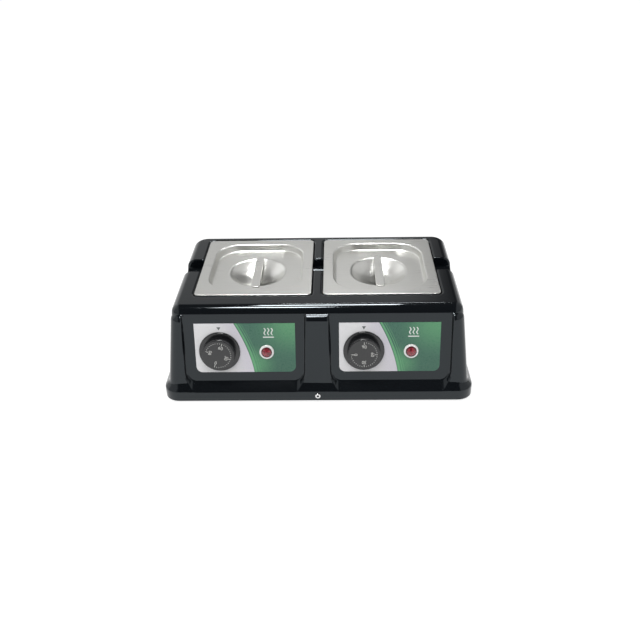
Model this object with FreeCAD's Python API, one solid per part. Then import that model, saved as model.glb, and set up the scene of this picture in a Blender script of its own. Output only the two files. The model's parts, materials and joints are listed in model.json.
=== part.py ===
import FreeCAD, Part
import math
import os

# A two-pan dry-heat warmer: a drafted plastic casing with two steel pans and lids, and two dials.
# Sizes are millimetres. X runs left to right, Y from front to back, Z up, and the floor is Z = 0.

V = FreeCAD.Vector

# Lids
LID_WIDTH = 162.0
LID_DEPTH = 176.0
LID_GAP = 16.3
LID_CORNER = 7.0
LID_SHEET = 0.8
LID_EDGE_DROP = 2.5
LID_RIM = 15.0
LID_PANEL_DROP = 10.0
LID_PANEL_CORNER = 38.0
LID_WALL_LEAN = 2.0
LID_PRESS_ROUND = 2.5
LID_EDGE_ROUND = 0.7
DISH_WIDTH = 80.0
DISH_STRETCH = 7.5
DISH_DEPTH = 16.0
DISH_ROUND = 7.0
STRAP_WIDTH = 12.0
STRAP_SHEET = 1.5
STRAP_LAP = 4.8
STRAP_CORNER = 4.0
LID_PROUD = 0.5

# Pans
PAN_DEPTH = 100.0
PAN_SHEET = 0.8
PAN_LIP_WIDTH = 2.6
PAN_LIP_RISE = 3.1
PAN_EDGE_INSET = 1.0
PAN_EDGE_DROP = 3.8
PAN_TAPER = 4.0
PAN_CORNER = 34.0
PAN_FLOOR_ROUND = 14.0
PAN_EDGE_ROUND = 0.7

# Heating wells
WELL_SHEET = 1.0
WELL_CORNER = 30.0
WELL_SCREW_INSET = 5.0
WELL_SCREW_LENGTH = 5.0
PAN_AIR = 6.8
HEATER_MAT = 2.5
HEATER_MARGIN = 14.0
INSULATION_FLOOR = 13.0
INSULATION_WALL = 8.0
INSULATION_WRAP = 45.0

# Casing
CASING_WALL = 3.0
SIDE_STRIP = 26.45
FRONT_STRIP = 32.7
BACK_STRIP = 18.5
SIDE_DRAFT = 5.5
FRONT_DRAFT = 11.5
BACK_DRAFT = 7.6
DECK_ROUND = 12.5
FRONT_CORNER = 14.0
BACK_CORNER = 22.0
RECESS_ROUND = 3.8
NOTCH_LENGTH = 37.0
NOTCH_SHIFT = 4.5
NOTCH_DROP = 18.5
NOTCH_FLOOR_ROUND = 6.0
NOTCH_EDGE_ROUND = 2.2
COLUMN_PROUD = 6.0
COLUMN_TOP_DROP = 10.2
COLUMN_TOP_ROUND = 9.8
CENTRE_COLUMN_TOP = 31.0
CENTRE_COLUMN_FOOT = 37.0
CORNER_COLUMN = 14.6
POCKET_CORNER = 13.0
POCKET_ROUND = 3.0
COLUMN_ROUND = 2.8
SILL_RISE = 8.0
SILL_ANGLE = 49.0
FLANGE_HEIGHT = 16.5
FLANGE_FRONT_STEP = 11.2
FLANGE_SIDE_STEP = 6.7
FLANGE_BACK_STEP = 3.4
FLANGE_CORNER = 22.0
FLANGE_ROUND = 5.0
FLANGE_EDGE_DROP = 2.0
FLARE_RISE = 7.0
FLARE_ROUND = 12.0
FLARE_OVERRUN = 1.5

# Base
FOOT_PROUD = 3.0
FOOT_DIAMETER = 20.0
FOOT_INSET = 34.0
FOOT_TAPER = 1.6
FOOT_SCREW_SEAT = 2.6
TRAY_RECESS = 1.5
TRAY_SHEET = 1.5
TRAY_TAB_WIDTH = 30.0
TRAY_TAB_HEIGHT = 8.0
VENT_COUNT = 9
VENT_PITCH = 9.0
VENT_WIDTH = 4.0
VENT_LENGTH = 26.0
CASING_SCREW_RISE = 8.0
CASING_SCREW_HEAD = 7.6
CASING_SCREW_HEAD_HEIGHT = 1.8
CASING_SCREW_LENGTH = 9.0
HEX_SOCKET = 3.2

# Front controls, measured on the sloping panel from its foot
LABEL_WIDTH = 137.0
LABEL_HEIGHT = 71.0
LABEL_SHEET = 0.4
LABEL_CORNER = 8.5
LABEL_RISE = 57.2
LABEL_SHIFT = 2.0
DIAL_INSET = 33.5
DIAL_RISE = 52.7
LAMP_INSET = 39.3
LAMP_RISE = 51.5

# Knobs and thermostats
SKIRT_DIAMETER = 56.0
SKIRT_THICKNESS = 2.4
KNOB_FOOT_DIAMETER = 45.4
KNOB_FACE_DIAMETER = 43.5
KNOB_HEIGHT = 16.6
KNOB_WALL = 2.2
KNOB_HUB_DIAMETER = 12.0
KNOB_EDGE_ROUND = 1.0
KNOB_LIFT = 0.6
LEFT_KNOB_TURN = 70.0
RIGHT_KNOB_TURN = 0.0
SHAFT_DIAMETER = 6.0
SHAFT_FLAT = 1.4
SHAFT_LENGTH = 27.0
SHAFT_SEAT = 14.0
BUSH_DIAMETER = 10.0
THERMOSTAT_WIDTH = 38.0
THERMOSTAT_HEIGHT = 32.0
THERMOSTAT_DEPTH = 28.0
THERMOSTAT_PLATE = 1.5
THERMOSTAT_SCREW_PITCH = 28.0
THERMOSTAT_SCREW_LENGTH = 7.0
BLADE_WIDTH = 6.3
BLADE_SHEET = 0.8
BLADE_LENGTH = 8.0
CAPILLARY_DIAMETER = 2.0
CAPILLARY_BEND = 7.0
BULB_DIAMETER = 6.0
BULB_LENGTH = 45.0
BULB_RISE = 82.0
BULB_START = 16.0
CLIP_SHEET = 1.0
CLIP_WIDTH = 10.0
CLIP_FOOT = 6.0

# Pilot lamps
BEZEL_DIAMETER = 20.0
BEZEL_HEIGHT = 2.6
BEZEL_ROUND = 1.2
LENS_DIAMETER = 15.0
LENS_SEAT = 1.0
LENS_DOME = 2.6
BARREL_DIAMETER = 12.8
BARREL_LENGTH = 14.0
BARREL_WALL = 1.3
LAMP_BODY_LENGTH = 22.0
LAMP_NUT_ACROSS = 17.0
LAMP_NUT_HEIGHT = 3.5

# Power inlet on the back wall, and what sits on the tray
INLET_WIDTH = 27.0
INLET_HEIGHT = 20.0
INLET_DEPTH = 15.0
INLET_FACE_WIDTH = 50.0
INLET_FACE_HEIGHT = 24.0
INLET_FACE_SHEET = 2.5
INLET_SCREW_PITCH = 40.0
INLET_RISE = 42.0
INLET_SOCKET_WALL = 2.0
INLET_CORNER = 3.0
INLET_SCREW_LENGTH = 10.0
PIN_WIDTH = 4.0
PIN_SHEET = 2.0
PIN_PITCH = 7.0
TERMINAL_WIDTH = 36.0
TERMINAL_DEPTH = 18.0
TERMINAL_HEIGHT = 15.0
TERMINAL_ROUND = 1.5
TERMINAL_WAYS = 3
TRAY_FITTING_OFFSET = 48.0
EARTH_STUD_LENGTH = 14.0
EARTH_STUD_DIAMETER = 4.0
EARTH_NUT_ACROSS = 7.0

# Small screws
SCREW_DIAMETER = 3.0
SCREW_HEAD = 6.0
SCREW_HEAD_HEIGHT = 1.6

# Clearances
LID_CLEARANCE = 0.8
LID_NEST = 1.6
SEAT_GAP = 0.3
WELL_CLEARANCE = 1.7
APERTURE_CLEARANCE = 0.8
RUN_FIT = 0.05
HOLE_FIT = 0.2
TRAY_FIT = 0.3

# Heights, worked out from the floor up
FLANGE_FOOT_Z = FOOT_PROUD
TRAY_Z = FLANGE_FOOT_Z + TRAY_RECESS
TRAY_TOP_Z = TRAY_Z + TRAY_SHEET
HEATER_Z = TRAY_TOP_Z + INSULATION_FLOOR
WELL_Z = HEATER_Z + HEATER_MAT
PAN_Z = WELL_Z + WELL_SHEET + PAN_AIR
PAN_FLANGE_Z = PAN_Z + PAN_DEPTH
LID_TOP_Z = PAN_FLANGE_Z + PAN_LIP_RISE + SEAT_GAP + LID_SHEET
DECK_Z = LID_TOP_Z - LID_PROUD
WELL_FLANGE_Z = PAN_FLANGE_Z - PAN_EDGE_DROP - SEAT_GAP
LEDGE_Z = WELL_FLANGE_Z - WELL_SHEET
NOTCH_Z = DECK_Z - NOTCH_DROP
FLANGE_TOP_Z = FLANGE_FOOT_Z + FLANGE_HEIGHT
FLANGE_EDGE_Z = FLANGE_TOP_Z - FLANGE_EDGE_DROP
FLARE_TOP_Z = FLANGE_TOP_Z + FLARE_RISE
COLUMN_TOP_Z = DECK_Z - COLUMN_TOP_DROP
BULB_Z = BULB_RISE + TRAY_TOP_Z
CASING_SCREW_Z = FLANGE_FOOT_Z + CASING_SCREW_RISE

# Slopes
SIDE_SLOPE = math.tan(math.radians(SIDE_DRAFT))
FRONT_SLOPE = math.tan(math.radians(FRONT_DRAFT))
BACK_SLOPE = math.tan(math.radians(BACK_DRAFT))
FRONT_COS = math.cos(math.radians(FRONT_DRAFT))
SIDE_COS = math.cos(math.radians(SIDE_DRAFT))

# Plan, worked out from the lids outwards; the flange is centred on the origin
BODY_DROP = DECK_Z - FLANGE_TOP_Z
FRONT_RUN = FRONT_STRIP + BODY_DROP * FRONT_SLOPE + FLANGE_FRONT_STEP
BACK_RUN = BACK_STRIP + BODY_DROP * BACK_SLOPE + FLANGE_BACK_STEP
FLANGE_DEPTH = FRONT_RUN + LID_DEPTH + BACK_RUN
FLANGE_FRONT_Y = -FLANGE_DEPTH / 2
FLANGE_BACK_Y = FLANGE_DEPTH / 2
STATION_X = (LID_WIDTH + LID_GAP) / 2
STATION_Y = FLANGE_FRONT_Y + FRONT_RUN + LID_DEPTH / 2
NOTCH_Y = STATION_Y + NOTCH_SHIFT
LID_OUTER_X = STATION_X + LID_WIDTH / 2
DECK_HALF = LID_OUTER_X + SIDE_STRIP
DECK_FRONT_Y = STATION_Y - LID_DEPTH / 2 - FRONT_STRIP
DECK_BACK_Y = STATION_Y + LID_DEPTH / 2 + BACK_STRIP
FLANGE_HALF = DECK_HALF + BODY_DROP * SIDE_SLOPE + FLANGE_SIDE_STEP
PANEL_FOOT_Y = DECK_FRONT_Y - BODY_DROP * FRONT_SLOPE
BACK_FOOT_Y = DECK_BACK_Y + BODY_DROP * BACK_SLOPE
REACH = 2 * (FLANGE_HALF + FLANGE_DEPTH)

# Nested outlines of each station
PANEL_WIDTH = LID_WIDTH - 2 * LID_RIM
PANEL_DEPTH = LID_DEPTH - 2 * LID_RIM
MOUTH_WIDTH = PANEL_WIDTH + 2 * (LID_SHEET + LID_NEST)
MOUTH_DEPTH = PANEL_DEPTH + 2 * (LID_SHEET + LID_NEST)
WELL_WIDTH = MOUTH_WIDTH + 2 * (PAN_SHEET + WELL_CLEARANCE + WELL_SHEET)
WELL_DEPTH = MOUTH_DEPTH + 2 * (PAN_SHEET + WELL_CLEARANCE + WELL_SHEET)
APERTURE_WIDTH = WELL_WIDTH + 2 * APERTURE_CLEARANCE
APERTURE_DEPTH = WELL_DEPTH + 2 * APERTURE_CLEARANCE
RECESS_WIDTH = LID_WIDTH + 2 * LID_CLEARANCE
RECESS_DEPTH = LID_DEPTH + 2 * LID_CLEARANCE
NOTCH_INNER = (RECESS_WIDTH - APERTURE_WIDTH) / 2 - CASING_WALL

# Front layout
POCKET_INNER = CENTRE_COLUMN_FOOT / 2
POCKET_OUTER = DECK_HALF - CORNER_COLUMN
CONTROL_X = (POCKET_INNER + POCKET_OUTER) / 2 - LABEL_SHIFT
DIAL_OFFSET = LABEL_WIDTH / 2 - DIAL_INSET
LAMP_OFFSET = LABEL_WIDTH / 2 - LAMP_INSET

TOUCH = 0.01
SIDES = {"left": -1, "right": 1}

# How far each dial rests turned anticlockwise from its top mark, in degrees
KNOB_REST = {-1: LEFT_KNOB_TURN, 1: RIGHT_KNOB_TURN}


def box(x_low, x_high, y_low, y_high, z_low, z_high):
    return Part.makeBox(x_high - x_low, y_high - y_low, z_high - z_low, V(x_low, y_low, z_low))


def rounded_box(x, y, width, depth, corner, z_low, z_high):
    """A box centred on x, y with rounded upright edges."""
    block = box(x - width / 2, x + width / 2, y - depth / 2, y + depth / 2, z_low, z_high)
    upright = [edge for edge in block.Edges if edge.BoundBox.ZLength > TOUCH]
    return block.makeFillet(corner, upright)


def prism(points, along):
    outline = Part.makePolygon(points + points[:1])
    return Part.Face(outline).extrude(along)


def rod(diameter, z_low, z_high, x=0.0, y=0.0):
    return Part.makeCylinder(diameter / 2, z_high - z_low, V(x, y, z_low))


def hexagon_rod(across, z_low, z_high):
    reach = across / math.sqrt(3)
    turns = [i * math.pi / 3 for i in range(6)]
    corners = [V(reach * math.cos(turn), reach * math.sin(turn), z_low) for turn in turns]
    return prism(corners, V(0, 0, z_high - z_low))


def fuse(shapes):
    return shapes[0].multiFuse(shapes[1:]).removeSplitter()


def level_edges(shape, z):
    """The edges that lie wholly at one height."""
    return [
        edge
        for edge in shape.Edges
        if abs(edge.BoundBox.ZMin - z) < TOUCH and abs(edge.BoundBox.ZMax - z) < TOUCH
    ]


def front_frame(x, rise):
    """Local x, y, z become across, up the slope and out of the front panel."""
    slope = math.radians(FRONT_DRAFT)
    base = V(x, PANEL_FOOT_Y + rise * math.sin(slope), FLANGE_TOP_Z + rise * math.cos(slope))
    return FreeCAD.Placement(base, FreeCAD.Rotation(V(1, 0, 0), 90 - FRONT_DRAFT))


def back_frame(x, rise):
    """Local x, y, z become across, up the slope and out of the back wall."""
    slope = math.radians(BACK_DRAFT)
    base = V(x, BACK_FOOT_Y - rise * math.sin(slope), FLANGE_TOP_Z + rise * math.cos(slope))
    turn = FreeCAD.Rotation(V(0, 0, 1), 180) * FreeCAD.Rotation(V(1, 0, 0), 90 - BACK_DRAFT)
    return FreeCAD.Placement(base, turn)


def placed(shape, frame):
    copy = shape.copy()
    copy.Placement = frame.multiply(copy.Placement)
    return copy


def dial_frame(side):
    return front_frame(side * CONTROL_X - DIAL_OFFSET, DIAL_RISE)


def lamp_frame(side):
    return front_frame(side * CONTROL_X + LAMP_OFFSET, LAMP_RISE)


def drafted_block(z_low, z_high, inset, front_proud=0.0):
    """The casing's four drafted walls between two heights, moved inwards by a thickness."""
    low = DECK_Z - z_low
    high = DECK_Z - z_high
    half = DECK_HALF - inset / SIDE_COS
    front = DECK_FRONT_Y + (inset - front_proud) / FRONT_COS
    back = DECK_BACK_Y - inset / math.cos(math.radians(BACK_DRAFT))
    across = prism(
        [
            V(-half - low * SIDE_SLOPE, -REACH, z_low),
            V(half + low * SIDE_SLOPE, -REACH, z_low),
            V(half + high * SIDE_SLOPE, -REACH, z_high),
            V(-half - high * SIDE_SLOPE, -REACH, z_high),
        ],
        V(0, 2 * REACH, 0),
    )
    along = prism(
        [
            V(-REACH, front - low * FRONT_SLOPE, z_low),
            V(-REACH, back + low * BACK_SLOPE, z_low),
            V(-REACH, back + high * BACK_SLOPE, z_high),
            V(-REACH, front - high * FRONT_SLOPE, z_high),
        ],
        V(2 * REACH, 0, 0),
    )
    return across.common(along)


def round_corners(block, front_radius, back_radius):
    """Round the four slanting corner edges of a drafted block."""
    height = block.BoundBox.ZLength
    slanting = [edge for edge in block.Edges if edge.BoundBox.ZLength > 0.9 * height]
    middle = block.BoundBox.Center.y
    front = [edge for edge in slanting if edge.BoundBox.Center.y < middle]
    block = block.makeFillet(front_radius, front)
    slanting = [edge for edge in block.Edges if edge.BoundBox.ZLength > 0.9 * height]
    back = [edge for edge in slanting if edge.BoundBox.YMin > middle]
    return block.makeFillet(back_radius, back)


def plan_outline(half_width, front, back, z, front_radius, back_radius):
    """A level rounded rectangle, with one radius for the front corners and one for the back."""
    corners = [
        (half_width - front_radius, front + front_radius, front_radius, -90),
        (half_width - back_radius, back - back_radius, back_radius, 0),
        (back_radius - half_width, back - back_radius, back_radius, 90),
        (front_radius - half_width, front + front_radius, front_radius, 180),
    ]
    arcs = []
    for x, y, radius, start in corners:
        points = []
        for turn in (0, 45, 90):
            angle = math.radians(start + turn)
            points.append(V(x + radius * math.cos(angle), y + radius * math.sin(angle), z))
        arcs.append(Part.Arc(*points).toShape())
    edges = []
    for arc, following in zip(arcs, arcs[1:] + arcs[:1]):
        edges.append(arc)
        edges.append(Part.makeLine(arc.Vertexes[-1].Point, following.Vertexes[0].Point))
    return Part.Wire(edges)


def flared_foot():
    """The base flange, with a sloping top that runs up into the walls."""
    drop = DECK_Z - FLARE_TOP_Z
    half = DECK_HALF + drop * SIDE_SLOPE
    front = DECK_FRONT_Y - COLUMN_PROUD / FRONT_COS - drop * FRONT_SLOPE
    back = DECK_BACK_Y + drop * BACK_SLOPE
    inside_z = FLANGE_EDGE_Z + FLARE_OVERRUN * (FLARE_TOP_Z - FLANGE_EDGE_Z)
    half_inside = FLANGE_HALF + FLARE_OVERRUN * (half - FLANGE_HALF)
    front_inside = FLANGE_FRONT_Y + FLARE_OVERRUN * (front - FLANGE_FRONT_Y)
    back_inside = FLANGE_BACK_Y + FLARE_OVERRUN * (back - FLANGE_BACK_Y)
    flange = (FLANGE_HALF, FLANGE_FRONT_Y, FLANGE_BACK_Y)
    sections = [
        plan_outline(*flange, FLANGE_FOOT_Z, FLANGE_CORNER, FLANGE_CORNER),
        plan_outline(*flange, FLANGE_EDGE_Z, FLANGE_CORNER, FLANGE_CORNER),
        plan_outline(half_inside, front_inside, back_inside, inside_z, FRONT_CORNER, BACK_CORNER),
    ]
    foot = Part.makeLoft(sections, True, True)
    return foot.makeFillet(FLANGE_ROUND, level_edges(foot, FLANGE_EDGE_Z))


def column_block():
    """The lower body, whose front stands proud of the panel, flared into the base flange."""
    block = drafted_block(FLANGE_TOP_Z, COLUMN_TOP_Z, 0.0, COLUMN_PROUD)
    block = round_corners(block, FRONT_CORNER, BACK_CORNER)
    block = block.makeFillet(COLUMN_TOP_ROUND, level_edges(block, COLUMN_TOP_Z))
    body = fuse([block, flared_foot()])
    meeting = [
        edge
        for edge in body.Edges
        if abs(edge.BoundBox.ZMax - FLARE_TOP_Z) < TOUCH and edge.BoundBox.XLength > LID_WIDTH
    ]
    return body.makeFillet(FLARE_ROUND, meeting)


def pocket_tool(side):
    """What is cut away for one front pocket: flat floor, sloping sill and rounded corners."""
    out = 2 * FLANGE_FRONT_STEP
    slope_length = BODY_DROP / FRONT_COS
    top = slope_length + DECK_ROUND
    drop = out * math.tan(math.radians(SILL_ANGLE))
    lean = (CENTRE_COLUMN_FOOT - CENTRE_COLUMN_TOP) / 2 / slope_length
    seen_from_side = prism(
        [V(0, SILL_RISE, 0), V(0, SILL_RISE - drop, out), V(0, top, out), V(0, top, 0)],
        V(DECK_HALF, 0, 0),
    )
    seen_from_front = prism(
        [
            V(POCKET_INNER + lean * drop, -drop, 0),
            V(POCKET_OUTER, -drop, 0),
            V(POCKET_OUTER, top, 0),
            V(POCKET_INNER - lean * top, top, 0),
        ],
        V(0, 0, out),
    )
    tool = seen_from_side.common(seen_from_front)
    sill_ends = [
        edge
        for edge in tool.Edges
        if edge.BoundBox.XLength < POCKET_INNER and abs(edge.BoundBox.YLength - drop) < TOUCH
    ]
    tool = tool.makeFillet(POCKET_CORNER, sill_ends)
    floor_edges = [
        edge
        for edge in tool.Edges
        if edge.BoundBox.ZMax < TOUCH and edge.BoundBox.YMin < top - TOUCH
    ]
    tool = tool.makeFillet(POCKET_ROUND, floor_edges)
    if side < 0:
        tool = tool.mirror(V(0, 0, 0), V(1, 0, 0))
    return placed(tool, front_frame(0, 0))


def is_column_edge(edge):
    """True for the long upright edges that the pockets leave on the columns."""
    to_panel = front_frame(0, 0).inverse()
    points = [to_panel.multVec(point) for point in edge.discretize(3)]
    on_column = all(abs(point.z - COLUMN_PROUD) < TOUCH for point in points)
    beside_pocket = all(abs(point.x) < POCKET_OUTER + TOUCH for point in points)
    return on_column and beside_pocket and abs(points[0].y - points[-1].y) > BODY_DROP / 2


def casing_outside():
    """The casing as a solid lump, before it is opened and hollowed."""
    columns = column_block()
    for side in SIDES.values():
        columns = columns.cut(pocket_tool(side))
    columns = columns.makeFillet(COLUMN_ROUND, [edge for edge in columns.Edges if is_column_edge(edge)])
    body = round_corners(drafted_block(FLANGE_TOP_Z, DECK_Z, 0.0), FRONT_CORNER, BACK_CORNER)
    body = body.makeFillet(DECK_ROUND, level_edges(body, DECK_Z))
    return fuse([body, columns])


def notch_spans():
    """The finger notches' reach along X: one through each side rim and one through the divider."""
    beside = LID_OUTER_X + LID_CLEARANCE - NOTCH_INNER
    middle = LID_GAP / 2 - LID_CLEARANCE + NOTCH_INNER
    return [(-REACH, -beside), (-middle, middle), (beside, REACH)]


def notch_tool(x_low, x_high):
    low = NOTCH_Y - NOTCH_LENGTH / 2
    block = box(x_low, x_high, low, low + NOTCH_LENGTH, NOTCH_Z, DECK_Z + DECK_ROUND)
    floor = [edge for edge in level_edges(block, NOTCH_Z) if edge.BoundBox.XLength > TOUCH]
    return block.makeFillet(NOTCH_FLOOR_ROUND, floor)


def is_notch_rim(edge):
    """True for the straight notch edges on the deck, from which the rounding runs on by itself."""
    bounds = edge.BoundBox
    on_deck = abs(bounds.ZMin - DECK_Z) < TOUCH and abs(bounds.ZMax - DECK_Z) < TOUCH
    beside_notch = abs(abs(bounds.Center.y - NOTCH_Y) - NOTCH_LENGTH / 2) < TOUCH
    return on_deck and beside_notch and bounds.YLength < TOUCH


def opened_lump():
    """The solid casing with its lid recesses, apertures and finger notches, all edges rounded."""
    lump = casing_outside()
    for side in SIDES.values():
        recess = rounded_box(
            side * STATION_X,
            STATION_Y,
            RECESS_WIDTH,
            RECESS_DEPTH,
            LID_CORNER + LID_CLEARANCE,
            LEDGE_Z,
            DECK_Z + DECK_ROUND,
        )
        lump = lump.cut(recess)
    front_limit = DECK_FRONT_Y + FRONT_STRIP / 2
    rims = [edge for edge in level_edges(lump, DECK_Z) if edge.BoundBox.YMin > front_limit]
    inner_rims = [edge for edge in rims if abs(edge.BoundBox.Center.x) < LID_OUTER_X + 2 * LID_CLEARANCE]
    inner_rims = [edge for edge in inner_rims if edge.BoundBox.YMax < STATION_Y + RECESS_DEPTH / 2 + TOUCH]
    lump = lump.makeFillet(RECESS_ROUND, inner_rims)
    for span in notch_spans():
        lump = lump.cut(notch_tool(*span))
    return lump


def cavity():
    """The hollow inside the casing, less the walls and floors of the recesses and notches."""
    above = drafted_block(FLANGE_FOOT_Z - CASING_WALL, DECK_Z - CASING_WALL, CASING_WALL)
    above = round_corners(above, FRONT_CORNER - CASING_WALL, BACK_CORNER - CASING_WALL)
    above = above.makeFillet(DECK_ROUND - CASING_WALL, level_edges(above, DECK_Z - CASING_WALL))
    below = rounded_box(
        0,
        0,
        2 * (FLANGE_HALF - CASING_WALL),
        FLANGE_DEPTH - 2 * CASING_WALL,
        FLANGE_CORNER - CASING_WALL,
        FLANGE_FOOT_Z - CASING_WALL,
        FLANGE_EDGE_Z - CASING_WALL,
    )
    hollow = fuse([above, below])
    for side in SIDES.values():
        surround = rounded_box(
            side * STATION_X,
            STATION_Y,
            RECESS_WIDTH + 2 * CASING_WALL,
            RECESS_DEPTH + 2 * CASING_WALL,
            LID_CORNER + LID_CLEARANCE + CASING_WALL,
            LEDGE_Z - CASING_WALL,
            DECK_Z,
        )
        hollow = hollow.cut(surround)
    reach = NOTCH_LENGTH / 2 + CASING_WALL
    for x_low, x_high in notch_spans():
        trough = box(
            x_low - CASING_WALL,
            x_high + CASING_WALL,
            NOTCH_Y - reach,
            NOTCH_Y + reach,
            NOTCH_Z - CASING_WALL,
            DECK_Z,
        )
        hollow = hollow.cut(trough)
    return hollow


def countersunk(length, spare=0.0):
    """A countersunk screw, head upwards with its top at zero, or with spare room the hole for it."""
    narrow = SCREW_DIAMETER / 2 + spare
    wide = SCREW_HEAD / 2 + spare
    cone = Part.makeCone(narrow, wide, SCREW_HEAD_HEIGHT, V(0, 0, -SCREW_HEAD_HEIGHT))
    return fuse([cone, rod(SCREW_DIAMETER + 2 * spare, -length - spare, -SCREW_HEAD_HEIGHT / 2)])


def thermostat_screw_places():
    return [V(-THERMOSTAT_SCREW_PITCH / 2, 0, 0), V(THERMOSTAT_SCREW_PITCH / 2, 0, 0)]


def well_screw_places(side):
    x = LID_WIDTH / 2 - PAN_EDGE_INSET - WELL_SCREW_INSET
    y = LID_DEPTH / 2 - PAN_EDGE_INSET - WELL_SCREW_INSET
    return [V(side * STATION_X + i * x, STATION_Y + j * y, WELL_FLANGE_Z) for i in (-1, 1) for j in (-1, 1)]


def inlet_screw_places():
    return [V(-INLET_SCREW_PITCH / 2, 0, 0), V(INLET_SCREW_PITCH / 2, 0, 0)]


def flange_frames():
    """Frames at the casing screws, with local z out of the flange: front, back, left and right."""
    return [
        FreeCAD.Placement(V(0, FLANGE_FRONT_Y, CASING_SCREW_Z), FreeCAD.Rotation(V(1, 0, 0), 90)),
        FreeCAD.Placement(V(0, FLANGE_BACK_Y, CASING_SCREW_Z), FreeCAD.Rotation(V(1, 0, 0), -90)),
        FreeCAD.Placement(V(-FLANGE_HALF, 0, CASING_SCREW_Z), FreeCAD.Rotation(V(0, 1, 0), -90)),
        FreeCAD.Placement(V(FLANGE_HALF, 0, CASING_SCREW_Z), FreeCAD.Rotation(V(0, 1, 0), 90)),
    ]


def casing_holes():
    """Every hole that something passes through in the casing's walls and ledges."""
    depth = 2 * CASING_WALL
    holes = []
    for side in SIDES.values():
        bush_hole = rod(BUSH_DIAMETER + 2 * HOLE_FIT, -depth, depth)
        holes.append(placed(bush_hole, dial_frame(side)))
        for place in thermostat_screw_places():
            hole = countersunk(THERMOSTAT_SCREW_LENGTH, RUN_FIT)
            hole.translate(place)
            holes.append(placed(hole, dial_frame(side)))
        lamp_hole = rod(BARREL_DIAMETER + 2 * HOLE_FIT, -depth, depth)
        holes.append(placed(lamp_hole, lamp_frame(side)))
        for place in well_screw_places(side):
            hole = countersunk(WELL_SCREW_LENGTH, RUN_FIT)
            hole.translate(place)
            holes.append(hole)
        aperture = rounded_box(
            side * STATION_X,
            STATION_Y,
            APERTURE_WIDTH,
            APERTURE_DEPTH,
            WELL_CORNER + APERTURE_CLEARANCE,
            LEDGE_Z - depth,
            LEDGE_Z + CASING_WALL,
        )
        holes.append(aperture)
    width = INLET_WIDTH + 2 * HOLE_FIT
    height = INLET_HEIGHT + 2 * HOLE_FIT
    socket = rounded_box(0, 0, width, height, INLET_CORNER + HOLE_FIT, -depth, depth)
    holes.append(placed(socket, back_frame(0, INLET_RISE)))
    for place in inlet_screw_places():
        hole = rod(SCREW_DIAMETER + 2 * RUN_FIT, -depth, depth, place.x, place.y)
        holes.append(placed(hole, back_frame(0, INLET_RISE)))
    for frame in flange_frames():
        holes.append(placed(rod(SCREW_DIAMETER + 2 * RUN_FIT, -depth, depth), frame))
    return holes


def casing():
    lump = opened_lump()
    lump = lump.makeFillet(NOTCH_EDGE_ROUND, [edge for edge in lump.Edges if is_notch_rim(edge)])
    return lump.cut(cavity()).cut(casing_holes())


def casing_screws():
    """Socket screws through the flange into the tray's tabs."""
    head = rod(CASING_SCREW_HEAD, 0, CASING_SCREW_HEAD_HEIGHT)
    head = head.makeFillet(CASING_SCREW_HEAD_HEIGHT / 2, level_edges(head, CASING_SCREW_HEAD_HEIGHT))
    screw = fuse([head, rod(SCREW_DIAMETER, -CASING_SCREW_LENGTH, 0)])
    screw = screw.cut(hexagon_rod(HEX_SOCKET, CASING_SCREW_HEAD_HEIGHT / 3, 2 * CASING_SCREW_HEAD_HEIGHT))
    return Part.makeCompound([placed(screw, frame) for frame in flange_frames()])


def tray_half():
    return FLANGE_HALF - CASING_WALL - TRAY_FIT, FLANGE_DEPTH / 2 - CASING_WALL - TRAY_FIT


def foot_places():
    x = FLANGE_HALF - FOOT_INSET
    y = FLANGE_DEPTH / 2 - FOOT_INSET
    return [V(i * x, j * y, 0) for i in (-1, 1) for j in (-1, 1)]


def vent_slots():
    """Slots through the tray under the gap in front of the wells."""
    slots = []
    front = STATION_Y - WELL_DEPTH / 2 - INSULATION_WALL
    middle = (FLANGE_FRONT_Y + front) / 2
    for side in SIDES.values():
        for i in range(VENT_COUNT):
            x = side * STATION_X + (i - (VENT_COUNT - 1) / 2) * VENT_PITCH
            end_round = VENT_WIDTH / 2 - TOUCH
            slots.append(rounded_box(x, middle, VENT_WIDTH, VENT_LENGTH, end_round, 0, 2 * TRAY_TOP_Z))
    return slots


def base_tray():
    half_x, half_y = tray_half()
    corner = FLANGE_CORNER - CASING_WALL - TRAY_FIT
    plate = rounded_box(0, 0, 2 * half_x, 2 * half_y, corner, TRAY_Z, TRAY_TOP_Z)
    reach = TRAY_TAB_WIDTH / 2
    top = TRAY_TOP_Z + TRAY_TAB_HEIGHT
    tabs = [
        box(-reach, reach, -half_y, -half_y + TRAY_SHEET, TRAY_Z, top),
        box(-reach, reach, half_y - TRAY_SHEET, half_y, TRAY_Z, top),
        box(-half_x, -half_x + TRAY_SHEET, -reach, reach, TRAY_Z, top),
        box(half_x - TRAY_SHEET, half_x, -reach, reach, TRAY_Z, top),
    ]
    tray = fuse([plate] + tabs)
    holes = vent_slots()
    for frame in flange_frames():
        holes.append(placed(rod(SCREW_DIAMETER + 2 * RUN_FIT, -2 * CASING_SCREW_LENGTH, 0), frame))
    for place in foot_places():
        holes.append(rod(SCREW_DIAMETER + 2 * RUN_FIT, 0, 2 * TRAY_TOP_Z, place.x, place.y))
    return tray.cut(holes)


def rubber_feet():
    foot = Part.makeCone(FOOT_DIAMETER / 2 - FOOT_TAPER, FOOT_DIAMETER / 2, TRAY_Z)
    foot = foot.makeFillet(FOOT_TAPER / 2, level_edges(foot, 0))
    foot = foot.cut(rod(SCREW_HEAD + 2 * HOLE_FIT, 0, FOOT_SCREW_SEAT))
    foot = foot.cut(rod(SCREW_DIAMETER + 2 * RUN_FIT, 0, TRAY_Z))
    feet = []
    for place in foot_places():
        copy = foot.copy()
        copy.translate(place)
        feet.append(copy)
    return Part.makeCompound(feet)


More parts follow.
